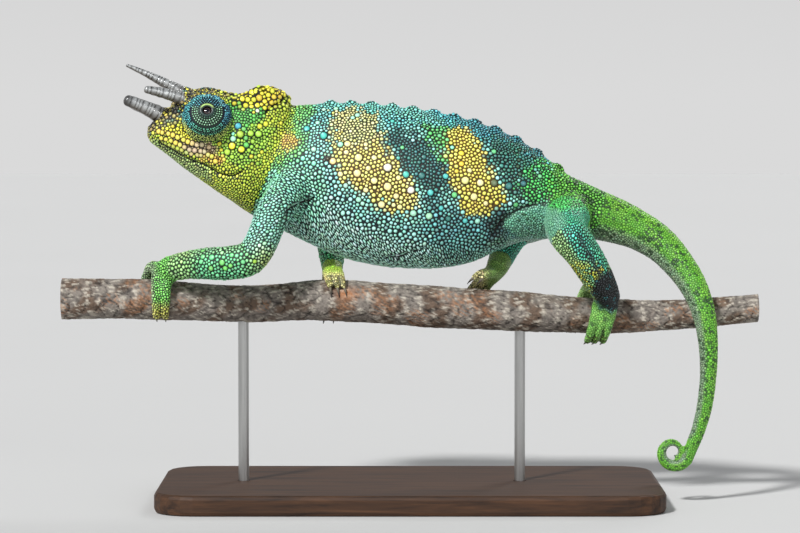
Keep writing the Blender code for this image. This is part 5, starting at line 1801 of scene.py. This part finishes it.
def horn(name, material):
    """A tapering horn of raised rings with fine grooves between them; its ring crests and a streak
    along its upper side are painted pale as highlights, and its grooves and underside painted dark
    as shade.
    """
    root, tip, root_radius, tip_radius, bow = HORNS[name]
    root, tip = np.array(root), np.array(tip)
    length = np.linalg.norm(tip - root)
    along = (tip - root) / length
    turn = full_turn(HORN_SIDES)
    rows, ridge_highlight = [], []
    reaches = np.arange(-HORN_SUNK, length + 0.001, HORN_STEP)
    for reach in reaches:
        t = max(reach, 0) / length
        radius = root_radius + (tip_radius - root_radius) * t
        phase = (reach / HORN_RING + 0.24 * math.sin(reach * 1.7)) % 1
        ridge = math.sin(math.pi * phase) ** 0.5
        radius *= 1.01 + 0.055 * ridge * (1 - 0.5 * t)
        point = root + along * reach + np.array((0, 0, 4 * bow * t * (1 - t)))
        rows.append((*point, radius))
        ridge_highlight.append(ridge)
    end, radius = np.array(rows[-1][:3]), rows[-1][3]
    for angle in np.linspace(0.25, math.pi / 2 * 0.97, 6):
        rows.append((*(end + along * tip_radius * 0.8 * math.sin(angle)), radius * math.cos(angle)))
        ridge_highlight.append(0.8)
    rows = np.array(rows)
    rings = path_rings(rows, HORN_SIDES, (0, 1, 0))
    middle = rows[:, None, :3]
    flutes = 0.015 * np.sin(turn * 9 + 0.7) + 0.02 * np.sin(turn * 4 + rows[:, :1] * 0.9)
    chips = 0.03 * ripple(rings.reshape(-1, 3), 1.1, 21).reshape(rings.shape[:2])
    rings = middle + (rings - middle) * (1 + flutes + chips)[..., None]
    tone = np.array(ridge_highlight)[:, None] * np.ones(HORN_SIDES)
    clouds = ripple(rings.reshape(-1, 3), 2.4, 22).reshape(tone.shape)
    foot = np.zeros(len(rows))
    foot[: len(reaches)] = soft_step(5.0, 0.0, reaches)
    dark, brown = (34, 31, 28), (66, 53, 38)
    # Painted light: pale ring crests and the pale upper streak are painted highlights, the dark
    # grooves and brown underside painted shade; the brown clouds and the brown round the root are
    # the horn's own colour
    colour = layered(
        light(dark),
        (tone**1.5 * 0.9 + 0.25 * clouds, (196, 199, 198)),
        (0.85 * soft_step(-0.2, 0.8, np.sin(turn)), brown),
        (0.6 * hump(np.sin(turn), -0.35, 0.3) * np.clip(tone, 0.3, 1), (228, 231, 232)),
        (foot[:, None] * 0.25 + 0.35 * soft_step(0.1, 0.9, clouds), brown),
    )
    if name == "horn_nose":
        blunt = soft_step(length - 2.2, length + 0.6, (rows[:, :3] - root) @ along)
        colour = layered(colour, (0.75 * blunt[:, None], dark))
    points, quads, caps = tube(rings)
    colours = np.vstack([colour.reshape(-1, 3), colour[0].mean(0), colour[-1].mean(0)])
    made = mesh_object(name + "_ringed", moved(PLACE, points), [quads, caps], material, colours)
    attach(made, "root")
    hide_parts(name)


def claws(material):
    """All the claws: hooked, flattened a little, darker at the tip."""
    shapes, colours = [], []
    for grip in GRIPS.values():
        for path in toe_paths(grip):
            rows = claw_rows(path)
            middle = rows[:, None, :3]
            off = path_rings(rows, CLAW_SIDES, (1, 0, 0)) - middle
            off[..., 0] *= CLAW_FLATNESS
            shapes.append(tube(middle + off))
            darker = soft_step(0.25, 0.8, np.linspace(0, 1, len(rows)))
            tone = layered(light((120, 112, 96)), (darker, (34, 30, 30)))
            colours += [np.repeat(tone, CLAW_SIDES, 0), tone[:1], tone[-1:]]
    points, quads, tris = joined(shapes)
    made = mesh_object("claws", points, [quads, tris], material, np.vstack(colours))
    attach(made, "root")


def eye(side, name, material, lid_material):
    """A dark glossy eyeball with a thin iris ring, and the lid's rolled edge round it."""
    centre, gaze, up, forward = turret_axes(side)
    middle = centre + gaze * EYEBALL_DEPTH
    turn = full_turn(EYE_SIDES)
    cos, sin = np.cos(turn)[:, None], np.sin(turn)[:, None]
    rings, colours = [], []
    for angle in np.linspace(math.pi - 0.05, 0.02, EYE_SIDES):
        across, ahead = EYEBALL_RADIUS * math.sin(angle), EYEBALL_RADIUS * math.cos(angle)
        rings.append(middle + gaze * ahead + across * (cos * up + sin * forward))
        iris = hump(across, 0.86, 0.1) if ahead > 0 else 0
        tone = layered(light((8, 5, 20)), (iris, (96, 74, 72)),
                       (soft_step(0.95, 1.1, across), (8, 7, 10)))
        colours.append(np.tile(tone, (len(turn), 1)))
    points, quads, caps = tube(rings)
    shades = np.vstack(colours + [colours[0][:1], colours[-1][:1]])
    ball = mesh_object(name + "_polished", points, [quads, caps], material, shades)
    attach(ball, "root")
    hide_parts(name)
    rings, colours = [], []
    across = turn[::4]
    for angle in full_turn(LID_STEPS):
        rise, ahead = math.cos(angle), math.sin(angle)
        out = rise * up + ahead * forward
        spot = centre + LID_UP * rise * up + LID_FORWARD * ahead * forward + gaze * LID_HEIGHT
        rings.append([spot + LID_WIDTH * math.cos(a) * out + LID_THICKNESS * math.sin(a) * gaze
                      for a in across])
        # Painted light: the lid's top is painted pale as if lit from above, and its inner side is
        # drawn near black
        lit = soft_step(0.2, 0.8, rise) * soft_step(-0.1, 0.5, np.cos(across))
        colours.append(layered(light((20, 50, 44)), (lit, (190, 226, 126)),
                               (soft_step(-0.1, -0.7, np.cos(across)), (8, 8, 10))))
    points = np.array(rings)
    index = np.arange(points.shape[0] * points.shape[1]).reshape(points.shape[:2])
    quads = ring_quads(index, np.roll(index, -1, 0))
    lid = mesh_object(name + "_lid", points.reshape(-1, 3), [quads], lid_material,
                      np.vstack(colours))
    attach(lid, "root")


def branch(material):
    """Barked branch with flakes, cracks, knots and clean cut ends."""
    rows = curve_rows(BRANCH, BRANCH_STEPS)
    turn = full_turn(BRANCH_SIDES)
    cos, sin = np.cos(turn), np.sin(turn)
    x = rows[:, :1]
    swell = np.sin(3 * turn + 0.11 * x) + np.sin(2 * turn - 0.23 * x)
    radius = rows[:, 2:3] * (1 + BARK_SWELL * swell / 2)
    spots = np.stack([x + 0 * turn, radius * cos, rows[:, 1:2] + radius * sin], -1)
    flat = spots.reshape(-1, 3)
    long = flat * (0.4, 1, 1)
    cracks = np.abs(ripple(long, 2.9, 31)) ** 0.7
    flakes, fine = ripple(long, 1.5, 32), ripple(flat, 0.8, 33)
    relief = 0.12 - 0.5 * soft_step(0.32, 0.0, cracks) + 0.1 * flakes + 0.05 * fine
    relief = np.clip(relief, -0.5, 0.24).reshape(radius.shape)
    out = np.stack([0 * radius, cos + 0 * radius, sin + 0 * radius], -1)
    points, quads, caps = tube(spots + out * relief[..., None])
    rusty = soft_step(0.35, 0.8, ripple(flat, 12, 35)) * soft_step(-0.2, 0.6, fine)
    scar = np.exp(-(((flat[:, 0] + 19.2) / 2.6) ** 2 + ((flat[:, 2] - 62.5) / 1.8) ** 2))
    dark = (32, 27, 25)
    tone = layered(
        light((126, 118, 110)),
        (soft_step(-0.3, 0.6, ripple(flat, 9, 34)), (100, 82, 68)),
        (soft_step(0.25, 0.8, flakes + 0.5 * fine) * 0.75, (190, 182, 168)),
        (soft_step(0.32, 0.02, cracks) * 0.85, dark),
        (soft_step(0.2, 0.9, ripple(flat, 2.6, 36)) * 0.45, dark),
        (rusty * 0.6, (158, 108, 70)),
        (scar * (flat[:, 1] < 0) * 0.8, (176, 116, 70)),
    )
    wood = light((186, 158, 120))
    bark = mesh_object("branch_bark", points, [quads, caps], material,
                       np.vstack([tone, wood, wood]))
    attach(bark, "root")
    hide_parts("branch")


# ---------------------------------------------------------------- putting it together


def dress_animal(nodes):
    """The skin and the coat of scales, in place of the solids' flesh."""
    skin = Skin(nodes)
    scale_colours, ground_colours = markings(skin)
    scale_finish = finish_material("scale", roughness=0.4, coat=0.15, mottle=(700.0, 0.25),
                                   grain=(9000.0, 5000.0), bump=0.08, depth=0.00004)
    skin_finish = finish_material("bare skin", roughness=0.55, mottle=(500.0, 0.3),
                                  grain=(3200.0, 2000.0), bump=0.5, depth=0.00012)
    unwrap = Unwrap(skin)
    coat = Coat(skin, scale_colours, ground_colours)
    for piece, slot in coat.build(unwrap, scale_finish):
        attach(piece, "root")
    eyes = eye_coat(scale_finish, unwrap)
    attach(eyes, "root")
    cover = mesh_object("skin", skin.points, [skin.faces], skin_finish)
    thinned(cover, min(1, SKIN_TRIANGLES / len(skin.faces)))
    points, _ = mesh_arrays(cover.data)
    near = np.array([coat.skin_points.find(p)[1] for p in points.tolist()])
    paint(cover.data, ground_colours[near])
    cover.data.shade_smooth()
    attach(cover, "root")
    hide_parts(*FLESH)


def set_stage():
    """Pale floor, soft lights and the camera."""
    far = FLOOR_REACH
    corners = np.array([(-far, -far, 0), (far, -far, 0), (far, far, 0), (-far, far, 0)], float)
    finish = finish_material("pale floor", (200, 200, 199), roughness=0.85, mottle=(3.0, 0.03),
                             bump=0.0)
    floor = mesh_object("floor", corners, [np.array([[0, 1, 2, 3]])], finish)
    world = bpy.data.worlds.new("studio")
    bpy.context.scene.world = world
    world.use_nodes = True
    tree = world.node_tree
    place = add(tree, "ShaderNodeTexCoord")
    split = add(tree, "ShaderNodeSeparateXYZ", i0=place.outputs["Generated"])
    sky = colour_ramp(tree, split.outputs["Z"], (0.0, (1.0, 1.0, 1.0)), (0.6, (0.3, 0.31, 0.33)))
    fill(tree, tree.nodes["Background"], Color=sky, Strength=0.7)
    for name, way, spread_angle, strength in LIGHTS:
        lamp = bpy.data.lights.new(name, "SUN")
        lamp.angle = math.radians(spread_angle)
        lamp.energy = strength
        holder = placed(name, lamp)
        holder.rotation_euler = (-Vector(way)).to_track_quat("-Z", "Y").to_euler()
    camera = placed("camera", bpy.data.cameras.new("camera"))
    camera.data.lens = LENS
    camera.data.sensor_width = 36
    camera.data.clip_start = 0.01
    tilt = math.radians(ELEVATION)
    offset = Vector((0, -math.cos(tilt), math.sin(tilt))) * DISTANCE * MM
    camera.location = Vector(AIM * MM) + offset
    camera.rotation_euler = (-offset).to_track_quat("-Z", "Y").to_euler()
    bpy.context.scene.camera = camera
    bpy.context.scene.view_settings.view_transform = "Standard"


def main():
    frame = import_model()
    nodes = frame["nodes"]
    set_stage()
    dress_animal(nodes)
    horn_finish = finish_material("horn", roughness=0.2, metallic=0.5, coat=0.6,
                                  coat_roughness=0.1,
                                  mottle=(900.0, 0.6), grain=(5000.0, 2500.0), bump=0.35,
                                  depth=0.00008)
    for name in HORNS:
        horn(name, horn_finish)
    claws(finish_material("claw", roughness=0.35, mottle=(1500.0, 0.2), bump=0.1, depth=0.00005))
    ball = finish_material("eyeball", roughness=0.08, coat=1.0, coat_roughness=0.03,
                           mottle=(900.0, 0.1), bump=0.0, roughness_spread=0.02)
    lid = finish_material("lid", roughness=0.4, coat=0.1, mottle=(1500.0, 0.3),
                          grain=(6000.0, 4000.0), bump=0.3, depth=0.00006)
    for side, name in ((-1, "eyeball_left"), (1, "eyeball_right")):
        eye(side, name, ball, lid)
    branch(finish_material("bark", roughness=0.8, mottle=(900.0, 1.1), grain=(1400.0, 900.0),
                           bump=0.6, depth=0.0003))
    nodes["stand_base"].material_slots[0].material = wood_material()
    steel = steel_material()
    for name in ("stand_rod_front", "stand_rod_rear"):
        nodes[name].material_slots[0].material = steel


main()
